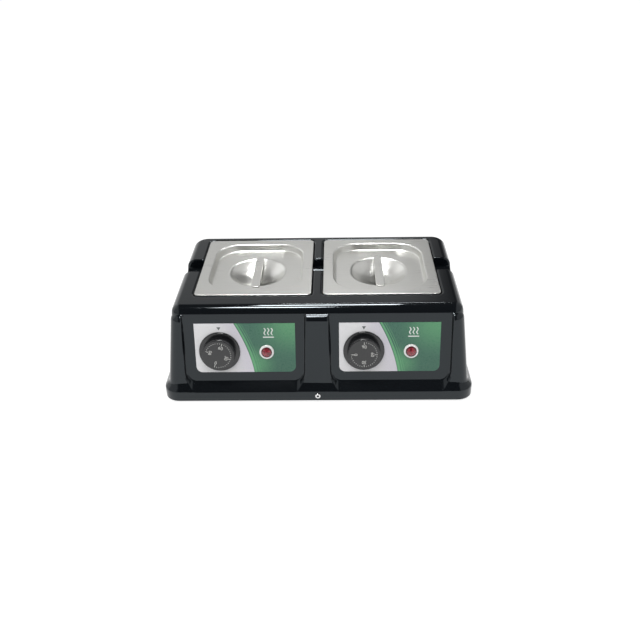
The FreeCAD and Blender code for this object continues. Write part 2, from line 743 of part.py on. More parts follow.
def foot_screws():
    screws = []
    for place in foot_places():
        head = rod(SCREW_HEAD, FOOT_SCREW_SEAT - SCREW_HEAD_HEIGHT, FOOT_SCREW_SEAT)
        screw = fuse([head, rod(SCREW_DIAMETER, FOOT_SCREW_SEAT, TRAY_TOP_Z + SCREW_DIAMETER)])
        screw.translate(place)
        screws.append(screw)
    return Part.makeCompound(screws)


def tapered_block(width, depth, z_low, z_high, lean, corner):
    """A block on the Z axis that is width by depth at its top and leans in by lean towards its foot."""
    across = prism(
        [
            V(lean - width / 2, -REACH, z_low),
            V(width / 2 - lean, -REACH, z_low),
            V(width / 2, -REACH, z_high),
            V(-width / 2, -REACH, z_high),
        ],
        V(0, 2 * REACH, 0),
    )
    along = prism(
        [
            V(-REACH, lean - depth / 2, z_low),
            V(-REACH, depth / 2 - lean, z_low),
            V(-REACH, depth / 2, z_high),
            V(-REACH, -depth / 2, z_high),
        ],
        V(2 * REACH, 0, 0),
    )
    block = across.common(along)
    return round_corners(block, corner, corner)


def at_station(shape, side):
    shape.translate(V(side * STATION_X, STATION_Y, 0))
    return shape


def pan(side):
    top = PAN_FLANGE_Z + PAN_LIP_RISE
    lean = (top - PAN_Z) * math.tan(math.radians(PAN_TAPER))
    outer_width = MOUTH_WIDTH + 2 * PAN_SHEET
    outer_depth = MOUTH_DEPTH + 2 * PAN_SHEET
    outside = tapered_block(outer_width, outer_depth, PAN_Z, top, lean, PAN_CORNER)
    outside = outside.makeFillet(PAN_FLOOR_ROUND, level_edges(outside, PAN_Z))
    inside = tapered_block(MOUTH_WIDTH, MOUTH_DEPTH, PAN_Z + PAN_SHEET, top, lean, PAN_CORNER - PAN_SHEET)
    inside = inside.makeFillet(PAN_FLOOR_ROUND - PAN_SHEET, level_edges(inside, PAN_Z + PAN_SHEET))
    width = LID_WIDTH - 2 * PAN_EDGE_INSET
    depth = LID_DEPTH - 2 * PAN_EDGE_INSET
    corner = LID_CORNER - PAN_EDGE_INSET
    flange = rounded_box(0, 0, width, depth, corner, PAN_FLANGE_Z - PAN_EDGE_DROP, PAN_FLANGE_Z)
    flange = flange.makeFillet(PAN_EDGE_ROUND, level_edges(flange, PAN_FLANGE_Z))
    under = rounded_box(
        0,
        0,
        width - 2 * PAN_SHEET,
        depth - 2 * PAN_SHEET,
        corner - PAN_SHEET,
        PAN_FLANGE_Z - PAN_EDGE_DROP,
        PAN_FLANGE_Z - PAN_SHEET,
    )
    lip_width = MOUTH_WIDTH + 2 * PAN_LIP_WIDTH
    lip_depth = MOUTH_DEPTH + 2 * PAN_LIP_WIDTH
    lip_corner = PAN_CORNER + PAN_LIP_WIDTH
    lip = rounded_box(0, 0, lip_width, lip_depth, lip_corner, PAN_FLANGE_Z - PAN_SHEET, top)
    lip = lip.makeFillet(PAN_SHEET, level_edges(lip, top))
    return at_station(fuse([flange.cut(under), outside, lip]).cut(inside), side)


def lid(side):
    panel_z = LID_TOP_Z - LID_PANEL_DROP
    rim = rounded_box(0, 0, LID_WIDTH, LID_DEPTH, LID_CORNER, LID_TOP_Z - LID_EDGE_DROP, LID_TOP_Z)
    rim = rim.makeFillet(LID_EDGE_ROUND, level_edges(rim, LID_TOP_Z))
    under = rounded_box(
        0,
        0,
        LID_WIDTH - 2 * LID_SHEET,
        LID_DEPTH - 2 * LID_SHEET,
        LID_CORNER - LID_SHEET,
        LID_TOP_Z - LID_EDGE_DROP,
        LID_TOP_Z - LID_SHEET,
    )
    tub = tapered_block(
        PANEL_WIDTH + 2 * LID_SHEET,
        PANEL_DEPTH + 2 * LID_SHEET,
        panel_z - LID_SHEET,
        LID_TOP_Z - LID_SHEET,
        LID_WALL_LEAN,
        LID_PANEL_CORNER + LID_SHEET,
    )
    tub = tub.makeFillet(LID_PRESS_ROUND + LID_SHEET, level_edges(tub, panel_z - LID_SHEET))
    hollow = tapered_block(PANEL_WIDTH, PANEL_DEPTH, panel_z, LID_TOP_Z, LID_WALL_LEAN, LID_PANEL_CORNER)
    hollow = hollow.makeFillet(LID_PRESS_ROUND, level_edges(hollow, panel_z))
    below = box(-LID_WIDTH, LID_WIDTH, -LID_DEPTH, LID_DEPTH, panel_z - 2 * DISH_DEPTH, panel_z - LID_SHEET)
    dish = dish_lump(panel_z, LID_SHEET).common(below)
    shell = fuse([rim.cut(under), tub, dish]).cut(hollow)
    shell = shell.cut(dish_lump(panel_z, 0.0))
    mouth = [edge for edge in level_edges(shell, LID_TOP_Z) if is_panel_mouth(edge)]
    shell = shell.makeFillet(LID_PRESS_ROUND, mouth)
    dish_rim = [edge for edge in level_edges(shell, panel_z) if is_dish_edge(edge)]
    shell = shell.makeFillet(DISH_ROUND, dish_rim)
    dish_root = [edge for edge in level_edges(shell, panel_z - LID_SHEET) if is_dish_edge(edge)]
    shell = shell.makeFillet(DISH_ROUND - LID_SHEET, dish_root)
    return at_station(shell, side)


def dish_lump(panel_z, spare):
    """A round-ended ball that presses the dish into the panel, grown by spare room."""
    radius = (DISH_WIDTH**2 / 4 + DISH_DEPTH**2) / (2 * DISH_DEPTH)
    centre_z = panel_z + radius - DISH_DEPTH
    front = V(0, -DISH_STRETCH / 2, centre_z)
    back = V(0, DISH_STRETCH / 2, centre_z)
    barrel = Part.makeCylinder(radius + spare, DISH_STRETCH, front, V(0, 1, 0))
    front_end = Part.makeSphere(radius + spare, front, V(0, -1, 0), 0, 90)
    back_end = Part.makeSphere(radius + spare, back, V(0, 1, 0), 0, 90)
    return fuse([barrel, front_end, back_end])


def is_panel_mouth(edge):
    bounds = edge.BoundBox
    return max(abs(bounds.XMin), abs(bounds.XMax)) < PANEL_WIDTH / 2 + TOUCH


def is_dish_edge(edge):
    bounds = edge.BoundBox
    half_length = (DISH_WIDTH + DISH_STRETCH) / 2
    in_width = max(abs(bounds.XMin), abs(bounds.XMax)) < DISH_WIDTH / 2 + LID_SHEET
    return in_width and max(abs(bounds.YMin), abs(bounds.YMax)) < half_length + LID_SHEET


def lid_handle(side):
    panel_z = LID_TOP_Z - LID_PANEL_DROP
    length = DISH_WIDTH + DISH_STRETCH + 2 * STRAP_LAP
    strap = rounded_box(0, 0, STRAP_WIDTH, length, STRAP_CORNER, panel_z, panel_z + STRAP_SHEET)
    strap = strap.makeFillet(STRAP_SHEET / 4, level_edges(strap, panel_z + STRAP_SHEET))
    return at_station(strap, side)


def well(side):
    flange_width = LID_WIDTH - 2 * PAN_EDGE_INSET
    flange_depth = LID_DEPTH - 2 * PAN_EDGE_INSET
    tub = rounded_box(0, 0, WELL_WIDTH, WELL_DEPTH, WELL_CORNER, WELL_Z, WELL_FLANGE_Z)
    corner = LID_CORNER - PAN_EDGE_INSET
    flange = rounded_box(0, 0, flange_width, flange_depth, corner, LEDGE_Z, WELL_FLANGE_Z)
    inside = rounded_box(
        0,
        0,
        WELL_WIDTH - 2 * WELL_SHEET,
        WELL_DEPTH - 2 * WELL_SHEET,
        WELL_CORNER - WELL_SHEET,
        WELL_Z + WELL_SHEET,
        WELL_FLANGE_Z,
    )
    low = NOTCH_SHIFT - NOTCH_LENGTH / 2
    high = NOTCH_SHIFT + NOTCH_LENGTH / 2
    gaps = [
        box(-LID_WIDTH, -WELL_WIDTH / 2, low, high, LEDGE_Z, WELL_FLANGE_Z),
        box(WELL_WIDTH / 2, LID_WIDTH, low, high, LEDGE_Z, WELL_FLANGE_Z),
    ]
    holes = []
    for place in well_screw_places(side):
        hole = countersunk(WELL_SCREW_LENGTH, RUN_FIT)
        hole.translate(place)
        holes.append(hole)
    return at_station(fuse([tub, flange]).cut([inside] + gaps), side).cut(holes)


def well_screws():
    screws = []
    for side in SIDES.values():
        for place in well_screw_places(side):
            screw = countersunk(WELL_SCREW_LENGTH)
            screw.translate(place)
            screws.append(screw)
    return Part.makeCompound(screws)


def heater_mat(side):
    width = WELL_WIDTH - 2 * HEATER_MARGIN
    depth = WELL_DEPTH - 2 * HEATER_MARGIN
    return at_station(rounded_box(0, 0, width, depth, HEATER_MARGIN, HEATER_Z, WELL_Z), side)


def insulation(side):
    """A fibre tub under and round the foot of the well, with a bed for the heater mat."""
    width = WELL_WIDTH + 2 * INSULATION_WALL
    depth = WELL_DEPTH + 2 * INSULATION_WALL
    top = TRAY_TOP_Z + INSULATION_WRAP
    tub = rounded_box(0, 0, width, depth, WELL_CORNER + INSULATION_WALL, TRAY_TOP_Z, top)
    room = rounded_box(
        0,
        0,
        WELL_WIDTH + 2 * SEAT_GAP,
        WELL_DEPTH + 2 * SEAT_GAP,
        WELL_CORNER + SEAT_GAP,
        HEATER_Z,
        top,
    )
    return at_station(tub.cut(room), side)


def knob(side):
    """A skirted dial, hollow behind, with a hub that takes the flatted shaft."""
    foot = LABEL_SHEET + KNOB_LIFT
    skirt = rod(SKIRT_DIAMETER, foot, foot + SKIRT_THICKNESS)
    skirt = skirt.makeFillet(SKIRT_THICKNESS / 2, level_edges(skirt, foot + SKIRT_THICKNESS))
    body = Part.makeCone(KNOB_FOOT_DIAMETER / 2, KNOB_FACE_DIAMETER / 2, KNOB_HEIGHT - foot, V(0, 0, foot))
    body = body.makeFillet(KNOB_EDGE_ROUND, level_edges(body, KNOB_HEIGHT))
    hollow = rod(KNOB_FACE_DIAMETER - 2 * KNOB_WALL, foot, KNOB_HEIGHT - KNOB_WALL)
    hub = rod(KNOB_HUB_DIAMETER, foot, KNOB_HEIGHT - KNOB_WALL)
    shell = fuse([fuse([skirt, body]).cut(hollow), hub])
    shell = shell.cut(flatted_rod(RUN_FIT, SHAFT_LENGTH - SHAFT_SEAT + SEAT_GAP))
    shell.rotate(V(0, 0, 0), V(0, 0, 1), KNOB_REST[side])
    return placed(shell, dial_frame(side))


def flatted_rod(spare, z_high):
    """The shaft's flatted end, or with spare room the socket for it."""
    end = rod(SHAFT_DIAMETER + 2 * spare, 0, z_high)
    flat_y = SHAFT_DIAMETER / 2 - SHAFT_FLAT + spare
    return end.cut(box(-SHAFT_DIAMETER, SHAFT_DIAMETER, flat_y, SHAFT_DIAMETER, 0, z_high))


def thermostat_shaft(side):
    shaft = fuse([rod(SHAFT_DIAMETER, -SHAFT_SEAT, 0), flatted_rod(0.0, SHAFT_LENGTH - SHAFT_SEAT)])
    shaft.rotate(V(0, 0, 0), V(0, 0, 1), KNOB_REST[side])
    return placed(shaft, dial_frame(side))


def thermostat_back():
    return CASING_WALL + THERMOSTAT_PLATE + THERMOSTAT_DEPTH


def thermostat(side):
    """Mounting plate, switch body, bush for the shaft and two blade terminals."""
    plate_back = CASING_WALL + THERMOSTAT_PLATE
    back = thermostat_back()
    half_x = THERMOSTAT_WIDTH / 2
    half_y = THERMOSTAT_HEIGHT / 2
    plate = box(-half_x, half_x, -half_y, half_y, -plate_back, -CASING_WALL)
    inset = THERMOSTAT_PLATE
    body = box(-half_x + inset, half_x - inset, -half_y + inset, half_y - inset, -back, -plate_back)
    body = body.makeFillet(THERMOSTAT_PLATE, level_edges(body, -back))
    bush = rod(BUSH_DIAMETER, -plate_back, LABEL_SHEET)
    blades = []
    for x in (-THERMOSTAT_WIDTH / 4, THERMOSTAT_WIDTH / 4):
        y = -THERMOSTAT_HEIGHT / 4
        blades.append(
            box(x - BLADE_WIDTH / 2, x + BLADE_WIDTH / 2, y, y + BLADE_SHEET, -back - BLADE_LENGTH, -back)
        )
    whole = fuse([plate, body, bush] + blades)
    whole = whole.cut(rod(SHAFT_DIAMETER + 2 * RUN_FIT, -SHAFT_SEAT - SEAT_GAP, CASING_WALL))
    for place in thermostat_screw_places():
        hole = countersunk(THERMOSTAT_SCREW_LENGTH, RUN_FIT)
        hole.translate(place)
        whole = whole.cut(hole)
    return placed(whole, dial_frame(side))


def thermostat_screws():
    screws = []
    for side in SIDES.values():
        for place in thermostat_screw_places():
            screw = countersunk(THERMOSTAT_SCREW_LENGTH)
            screw.translate(place)
            screws.append(placed(screw, dial_frame(side)))
    return Part.makeCompound(screws)


def bulb_axis_y():
    return STATION_Y - WELL_DEPTH / 2 - BULB_DIAMETER / 2 - RUN_FIT


def bulb_start_x(side):
    return dial_frame(side).Base.x + BULB_START


def capillary(side):
    """The sensing tube: out of the thermostat, up, and across to its bulb on the well's front wall."""
    start = dial_frame(side).multVec(V(0, 0, -thermostat_back()))
    inwards = V(0, FRONT_COS, -math.sin(math.radians(FRONT_DRAFT)))
    corner = start + inwards * ((bulb_axis_y() - start.y) / inwards.y)
    turn = V(corner.x, corner.y, BULB_Z)
    end = V(bulb_start_x(side), corner.y, BULB_Z)
    tube = bent_tube([start, corner, turn, end], CAPILLARY_DIAMETER, CAPILLARY_BEND)
    bulb = Part.makeCylinder(BULB_DIAMETER / 2, BULB_LENGTH, end, V(1, 0, 0))
    return fuse([tube, bulb])


def bent_tube(points, diameter, bend):
    """A round tube along straight runs joined by tangent arcs."""
    edges = []
    start = points[0]
    for before, corner, after in zip(points, points[1:], points[2:]):
        back = (before - corner).normalize()
        onwards = (after - corner).normalize()
        half_angle = back.getAngle(onwards) / 2
        length = bend / math.tan(half_angle)
        enter = corner + back * length
        leave = corner + onwards * length
        middle_way = (back + onwards).normalize()
        middle = corner + middle_way * (bend / math.sin(half_angle) - bend)
        edges.append(Part.makeLine(start, enter))
        edges.append(Part.Arc(enter, middle, leave).toShape())
        start = leave
    edges.append(Part.makeLine(start, points[-1]))
    path = Part.Wire(edges)
    section = Part.Wire(Part.makeCircle(diameter / 2, points[0], points[1] - points[0]))
    return path.makePipeShell([section], True, False)


def bulb_clip(side):
    """A sheet saddle that holds the bulb against the well."""
    wall_y = STATION_Y - WELL_DEPTH / 2
    axis_y = bulb_axis_y()
    x = bulb_start_x(side) + (BULB_LENGTH - CLIP_WIDTH) / 2
    inner = BULB_DIAMETER / 2 + RUN_FIT
    outer = inner + CLIP_SHEET
    axis = V(x, axis_y, BULB_Z)
    hump = Part.makeCylinder(outer, CLIP_WIDTH, axis, V(1, 0, 0))
    legs = box(x, x + CLIP_WIDTH, axis_y, wall_y, BULB_Z - outer, BULB_Z + outer)
    foot_reach = outer + CLIP_FOOT
    feet = box(x, x + CLIP_WIDTH, wall_y - CLIP_SHEET, wall_y, BULB_Z - foot_reach, BULB_Z + foot_reach)
    behind = box(x, x + CLIP_WIDTH, wall_y, wall_y + outer, BULB_Z - foot_reach, BULB_Z + foot_reach)
    channel = Part.makeCylinder(inner, CLIP_WIDTH, axis, V(1, 0, 0))
    throat = box(x, x + CLIP_WIDTH, axis_y, wall_y, BULB_Z - inner, BULB_Z + inner)
    return fuse([hump, legs, feet]).cut([behind, channel, throat])


def label(side):
    half_x = LABEL_WIDTH / 2
    half_y = LABEL_HEIGHT / 2
    sheet = box(-half_x, half_x, -half_y, half_y, 0, LABEL_SHEET)
    lower = [
        edge
        for edge in sheet.Edges
        if edge.BoundBox.ZLength > LABEL_SHEET / 2 and edge.BoundBox.YMax < 0
    ]
    sheet = sheet.makeFillet(LABEL_CORNER, lower)
    bush_hole = rod(BUSH_DIAMETER + 2 * HOLE_FIT, 0, LABEL_SHEET, -DIAL_OFFSET, DIAL_RISE - LABEL_RISE)
    lamp_hole = rod(BARREL_DIAMETER + 2 * HOLE_FIT, 0, LABEL_SHEET, LAMP_OFFSET, LAMP_RISE - LABEL_RISE)
    sheet = sheet.cut([bush_hole, lamp_hole])
    return placed(sheet, front_frame(side * CONTROL_X, LABEL_RISE))


def lamp_bezel(side):
    """A white ring with a cup for the lens, and a threaded barrel through the panel."""
    front = LABEL_SHEET + BEZEL_HEIGHT
    ring = rod(BEZEL_DIAMETER, LABEL_SHEET, front)
    ring = ring.makeFillet(BEZEL_ROUND, level_edges(ring, front))
    barrel = rod(BARREL_DIAMETER, -BARREL_LENGTH, LABEL_SHEET)
    bezel = fuse([ring, barrel])
    bezel = bezel.cut(rod(LENS_DIAMETER + 2 * RUN_FIT, LABEL_SHEET + LENS_SEAT, front))
    bezel = bezel.cut(rod(BARREL_DIAMETER - 2 * BARREL_WALL, -BARREL_LENGTH, front))
    return placed(bezel, lamp_frame(side))


def lamp_lens(side):
    seat = LABEL_SHEET + LENS_SEAT
    front = LABEL_SHEET + BEZEL_HEIGHT
    disc = rod(LENS_DIAMETER, seat, front)
    radius = (LENS_DIAMETER**2 / 4 + LENS_DOME**2) / (2 * LENS_DOME)
    ball = Part.makeSphere(radius, V(0, 0, front + LENS_DOME - radius))
    dome = ball.common(rod(LENS_DIAMETER, front, front + LENS_DOME))
    return placed(fuse([disc, dome]), lamp_frame(side))


def lamp_body(side):
    """The lamp itself, a plug inside the barrel with two blade terminals."""
    diameter = BARREL_DIAMETER - 2 * BARREL_WALL - 2 * RUN_FIT
    plug = rod(diameter, -LAMP_BODY_LENGTH, LABEL_SHEET + LENS_SEAT)
    blades = []
    for x in (-diameter / 4, diameter / 4):
        blades.append(
            box(
                x - BLADE_SHEET / 2,
                x + BLADE_SHEET / 2,
                -BLADE_WIDTH / 2,
                BLADE_WIDTH / 2,
                -LAMP_BODY_LENGTH - BLADE_LENGTH,
                -LAMP_BODY_LENGTH,
            )
        )
    return placed(fuse([plug] + blades), lamp_frame(side))


def lamp_nut(side):
    nut = hexagon_rod(LAMP_NUT_ACROSS, -CASING_WALL - LAMP_NUT_HEIGHT, -CASING_WALL)
    bore = rod(BARREL_DIAMETER + 2 * RUN_FIT, -CASING_WALL - LAMP_NUT_HEIGHT, -CASING_WALL)
    return placed(nut.cut(bore), lamp_frame(side))


def power_inlet():
    """A recessed mains inlet: face plate outside, body through the back wall, socket in front."""
    face = rounded_box(0, 0, INLET_FACE_WIDTH, INLET_FACE_HEIGHT, INLET_CORNER, 0, INLET_FACE_SHEET)
    face = face.makeFillet(INLET_FACE_SHEET / 3, level_edges(face, INLET_FACE_SHEET))
    depth = CASING_WALL + INLET_DEPTH
    body = rounded_box(0, 0, INLET_WIDTH, INLET_HEIGHT, INLET_CORNER, -depth, 0)
    whole = fuse([face, body])
    inner = 2 * INLET_SOCKET_WALL
    socket = rounded_box(
        0,
        0,
        INLET_WIDTH - inner,
        INLET_HEIGHT - inner,
        INLET_CORNER - INLET_SOCKET_WALL / 2,
        INLET_SOCKET_WALL - depth,
        INLET_FACE_SHEET,
    )
    whole = whole.cut(socket)
    for x, y in pin_places():
        slot = pin_blade(RUN_FIT, -depth, INLET_SOCKET_WALL - depth)
        slot.translate(V(x, y, 0))
        whole = whole.cut(slot)
    for place in inlet_screw_places():
        hole = countersunk(INLET_SCREW_LENGTH, RUN_FIT)
        hole.translate(place + V(0, 0, INLET_FACE_SHEET))
        whole = whole.cut(hole)
    return placed(whole, back_frame(0, INLET_RISE))


def pin_places():
    return [(-PIN_PITCH, -PIN_SHEET), (PIN_PITCH, -PIN_SHEET), (0, PIN_SHEET)]


def pin_blade(spare, z_low, z_high):
    half_x = PIN_SHEET / 2 + spare
    half_y = PIN_WIDTH / 2 + spare
    return box(-half_x, half_x, -half_y, half_y, z_low, z_high)


def inlet_pins():
    depth = CASING_WALL + INLET_DEPTH
    pins = []
    for x, y in pin_places():
        pin = pin_blade(0.0, -depth - BLADE_LENGTH, -INLET_SOCKET_WALL)
        pin.translate(V(x, y, 0))
        pins.append(placed(pin, back_frame(0, INLET_RISE)))
    return Part.makeCompound(pins)


def inlet_screws():
    screws = []
    for place in inlet_screw_places():
        screw = countersunk(INLET_SCREW_LENGTH)
        screw.translate(place + V(0, 0, INLET_FACE_SHEET))
        screws.append(placed(screw, back_frame(0, INLET_RISE)))
    return Part.makeCompound(screws)


def tray_fitting_y():
    """Half way between the insulation and the inside of the back flange."""
    insulation_back = STATION_Y + WELL_DEPTH / 2 + INSULATION_WALL
    return (insulation_back + FLANGE_BACK_Y - CASING_WALL) / 2


def terminal_block():
    y = tray_fitting_y()
    block = rounded_box(
        TRAY_FITTING_OFFSET,
        y,
        TERMINAL_WIDTH,
        TERMINAL_DEPTH,
        TERMINAL_ROUND,
        TRAY_TOP_Z,
        TRAY_TOP_Z + TERMINAL_HEIGHT,
    )
    pitch = TERMINAL_WIDTH / TERMINAL_WAYS
    for i in range(TERMINAL_WAYS):
        x = TRAY_FITTING_OFFSET + (i - (TERMINAL_WAYS - 1) / 2) * pitch
        well_hole = rod(pitch / 2, TRAY_TOP_Z + TERMINAL_HEIGHT / 2, TRAY_TOP_Z + TERMINAL_HEIGHT, x, y)
        wire_hole = Part.makeCylinder(
            pitch / 5,
            TERMINAL_DEPTH,
            V(x, y - TERMINAL_DEPTH / 2, TRAY_TOP_Z + TERMINAL_HEIGHT / 3),
            V(0, 1, 0),
        )
        block = block.cut(well_hole).cut(wire_hole)
    return block


def earth_stud():
    y = tray_fitting_y()
    return rod(EARTH_STUD_DIAMETER, TRAY_TOP_Z, TRAY_TOP_Z + EARTH_STUD_LENGTH, -TRAY_FITTING_OFFSET, y)


def earth_nut():
    y = tray_fitting_y()
    nut = hexagon_rod(EARTH_NUT_ACROSS, TRAY_TOP_Z, TRAY_TOP_Z + EARTH_STUD_DIAMETER)
    nut = nut.cut(rod(EARTH_STUD_DIAMETER + 2 * RUN_FIT, TRAY_TOP_Z, TRAY_TOP_Z + EARTH_STUD_DIAMETER))
    nut.translate(V(-TRAY_FITTING_OFFSET, y, 0))
    return nut


SINGLE_PIECES = [
    casing,
    base_tray,
    casing_screws,
    rubber_feet,
    foot_screws,
    well_screws,
    thermostat_screws,
    power_inlet,
    inlet_pins,
    inlet_screws,
    terminal_block,
    earth_stud,
    earth_nut,
]

STATION_PIECES = [
    pan,
    lid,
    lid_handle,
    well,
    heater_mat,
    insulation,
    knob,
    thermostat_shaft,
    thermostat,
    capillary,
    bulb_clip,
    label,
    lamp_bezel,
    lamp_lens,
    lamp_body,
    lamp_nut,
]


def main():
    os.makedirs("parts", exist_ok=True)
    for make in SINGLE_PIECES:
        make().exportStep("parts/" + make.__name__ + ".step")
    for name, side in SIDES.items():
        for make in STATION_PIECES:
            make(side).exportStep("parts/" + name + "_" + make.__name__ + ".step")


if __name__ == "__main__":
    main()
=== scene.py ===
"""Looks of a two-pan wax warmer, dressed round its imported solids."""

import json
import math

import bmesh
import bpy
from bpy.props import FloatProperty, FloatVectorProperty, IntProperty, PointerProperty
from mathutils import Matrix, Vector

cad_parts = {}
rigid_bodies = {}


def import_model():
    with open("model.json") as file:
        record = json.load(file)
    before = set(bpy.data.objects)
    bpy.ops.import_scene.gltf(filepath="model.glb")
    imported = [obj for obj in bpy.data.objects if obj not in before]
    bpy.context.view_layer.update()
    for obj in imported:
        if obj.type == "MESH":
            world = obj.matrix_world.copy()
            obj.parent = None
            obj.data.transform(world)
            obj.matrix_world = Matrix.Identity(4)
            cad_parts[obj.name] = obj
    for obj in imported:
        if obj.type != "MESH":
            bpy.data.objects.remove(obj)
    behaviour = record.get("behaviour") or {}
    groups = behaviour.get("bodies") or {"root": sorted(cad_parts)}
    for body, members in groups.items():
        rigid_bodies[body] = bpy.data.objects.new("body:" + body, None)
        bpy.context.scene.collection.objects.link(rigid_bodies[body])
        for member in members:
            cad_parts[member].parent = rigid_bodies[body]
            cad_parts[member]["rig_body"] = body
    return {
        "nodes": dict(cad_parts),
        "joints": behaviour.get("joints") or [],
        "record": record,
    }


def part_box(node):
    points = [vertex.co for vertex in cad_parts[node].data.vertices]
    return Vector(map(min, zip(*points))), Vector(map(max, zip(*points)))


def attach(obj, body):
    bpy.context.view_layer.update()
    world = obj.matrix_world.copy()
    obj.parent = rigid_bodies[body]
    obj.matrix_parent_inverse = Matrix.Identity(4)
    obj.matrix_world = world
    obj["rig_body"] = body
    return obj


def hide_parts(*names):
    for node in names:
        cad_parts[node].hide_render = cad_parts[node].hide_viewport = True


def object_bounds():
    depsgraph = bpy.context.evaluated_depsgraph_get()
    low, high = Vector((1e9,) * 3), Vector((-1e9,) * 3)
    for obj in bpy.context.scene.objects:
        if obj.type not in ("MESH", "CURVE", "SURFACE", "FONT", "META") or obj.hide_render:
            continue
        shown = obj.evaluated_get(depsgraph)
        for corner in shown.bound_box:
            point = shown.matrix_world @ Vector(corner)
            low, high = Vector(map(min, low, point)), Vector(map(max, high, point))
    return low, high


bl_info = {
    "name": "Two-pan wax warmer",
    "version": (1, 0, 0),
    "blender": (4, 5, 0),
    "location": "View3D > Sidebar > Warmer",
    "description": "Dresses the warmer's solids with finishes, dial marks and labels, and sets its studio",
    "category": "Object",
}

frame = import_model()
CAD_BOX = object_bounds()
SIDES = ("left", "right")
MILLI = 0.001
MERGE = 1e-6
HEAD_FLATNESS = 0.01 * MILLI
ACROSS = Vector((1.0, 0.0, 0.0))

# Angles in degrees above which an edge stays sharp.
PLAIN_CREASE = 28.0
CASING_CREASE = 24.0
SHEET_CREASE = 26.0
DIAL_CREASE = 32.0
LENS_CREASE = 20.0
ROUND_CREASE = 35.0
NORMAL_WEIGHT = 90

# Height of the built-in font's figures as a share of its size.
FIGURE_SHARE = 0.70
FIGURE_STEPS = 4
WELD_SIDES = 20
WELD_TOP_SHARE = 0.72


def tint(name, description, default):
    return FloatVectorProperty(
        name=name, description=description, default=default, subtype="COLOR", size=3, min=0.0, max=1.0
    )


def length(name, description, millimetres):
    return FloatProperty(
        name=name,
        description=description,
        default=millimetres * MILLI,
        min=0.0,
        precision=5,
        subtype="DISTANCE",
        unit="LENGTH",
    )


def share(name, description, default):
    return FloatProperty(
        name=name, description=description, default=default, min=0.0, max=1.0, subtype="FACTOR"
    )


def angle(name, description, degrees):
    return FloatProperty(
        name=name, description=description, default=math.radians(degrees), subtype="ANGLE", unit="ROTATION"
    )


class WarmerColours(bpy.types.PropertyGroup):
    """Colours of the warmer's finishes, as they look in plain light."""

    casing: tint("Casing", "Glossy plastic of the casing", (0.0030, 0.0040, 0.0055))
    steel: tint("Steel", "Satin steel of the pans, lids and handles", (0.70, 0.70, 0.674))
    plate: tint("Plating", "Bright plating of the screws and shafts", (0.78, 0.78, 0.78))
    well: tint("Wells", "Pressed aluminium of the heating wells", (0.74, 0.74, 0.73))
    tray: tint("Tray", "Coating of the base tray", (0.075, 0.077, 0.080))
    rubber: tint("Feet", "Rubber of the feet", (0.020, 0.020, 0.020))
    knob: tint("Dials", "Satin plastic of the dials", (0.0075, 0.0082, 0.0095))
    marks: tint("Dial marks", "Paint of the dial's numbers and ticks", (0.58, 0.58, 0.56))
    bezel: tint("Lamp bezels", "White plastic of the lamp bezels", (0.80, 0.80, 0.79))
    lens: tint("Lamp lenses", "Red plastic of the lamp lenses", (0.36, 0.034, 0.052))
    print_white: tint("Label white", "Pale field of the label", (0.76, 0.76, 0.77))
    print_shade: tint("Label shade", "Pale field where it meets the green", (0.62, 0.60, 0.66))
    print_green: tint("Label green", "Green field of the label", (0.048, 0.150, 0.100))
    print_glow: tint("Label glow", "Lighter green of the label's bands and glows", (0.120, 0.360, 0.170))
    print_ink: tint("Label ink", "Ink of the index mark over the dial", (0.050, 0.075, 0.065))
    inlet: tint("Inlet", "Moulded plastic of the mains inlet", (0.018, 0.018, 0.019))
    brass: tint("Brass", "Contacts and earth fittings", (0.70, 0.50, 0.22))
    copper: tint("Copper", "Sensing tubes", (0.66, 0.34, 0.20))
    silicone: tint("Heater mats", "Moulded silicone of the heater mats", (0.33, 0.065, 0.040))
    fibre: tint("Insulation", "Matted fibre round the wells", (0.66, 0.62, 0.52))
    phenolic: tint("Thermostats", "Moulded thermostat bodies", (0.030, 0.026, 0.024))
    nylon: tint("Nuts and blocks", "Natural nylon of the lamp nuts and terminal block", (0.66, 0.63, 0.55))
    amber: tint("Lamp bodies", "Moulded bodies of the pilot lamps", (0.26, 0.13, 0.05))
    # Painted shade: the dark colour stands for the shade inside screw recesses and sockets
    slot: tint("Screw slots", "Dark of the recesses in the screw heads", (0.012, 0.012, 0.012))


class WarmerSizes(bpy.types.PropertyGroup):
    """Sizes of what is printed, welded or cut on the warmer's pieces."""

    number_height: length("Number height", "Height of the numbers on the dial", 4.6)
    number_radius: length("Number radius", "Distance of the numbers from the dial's axis", 11.0)
    paint: length("Paint", "Thickness of the paint on the dial", 0.06)
    tick_count: IntProperty(name="Ticks", description="Fine ticks round the dial's scale", default=28, min=2)
    tick_sweep: angle("Scale sweep", "Angle from the scale's last number to its first", 270.0)
    tick_radius: length("Tick radius", "Distance of the fine ticks from the dial's axis", 17.2)
    tick_length: length("Tick length", "Length of a fine tick", 1.5)
    tick_width: length("Tick width", "Width of a fine tick", 0.55)
    long_tick_radius: length("Long tick radius", "Distance of the long ticks from the dial's axis", 16.0)
    long_tick_length: length("Long tick length", "Length of the tick beside each number", 4.0)
    long_tick_width: length("Long tick width", "Width of the tick beside each number", 0.8)
    weld_radius: length("Weld radius", "Radius of a spot weld on the lid's strap", 1.5)
    weld_height: length("Weld height", "Height of a spot weld over the strap", 0.12)
    weld_inset: length("Weld inset", "Distance of a spot weld from the strap's end", 3.2)
    # Reach of the painted shade in the casing screws' sockets
    socket_shade_radius: length("Socket radius", "Reach of the dark in the casing screws' sockets", 1.70)
    slot_length: length("Slot length", "Length of a screw's cross recess", 3.0)
    slot_width: length("Slot width", "Width of a screw's cross recess", 0.7)
    slot_height: length("Slot height", "How far the recess's marker stands off the head", 0.02)


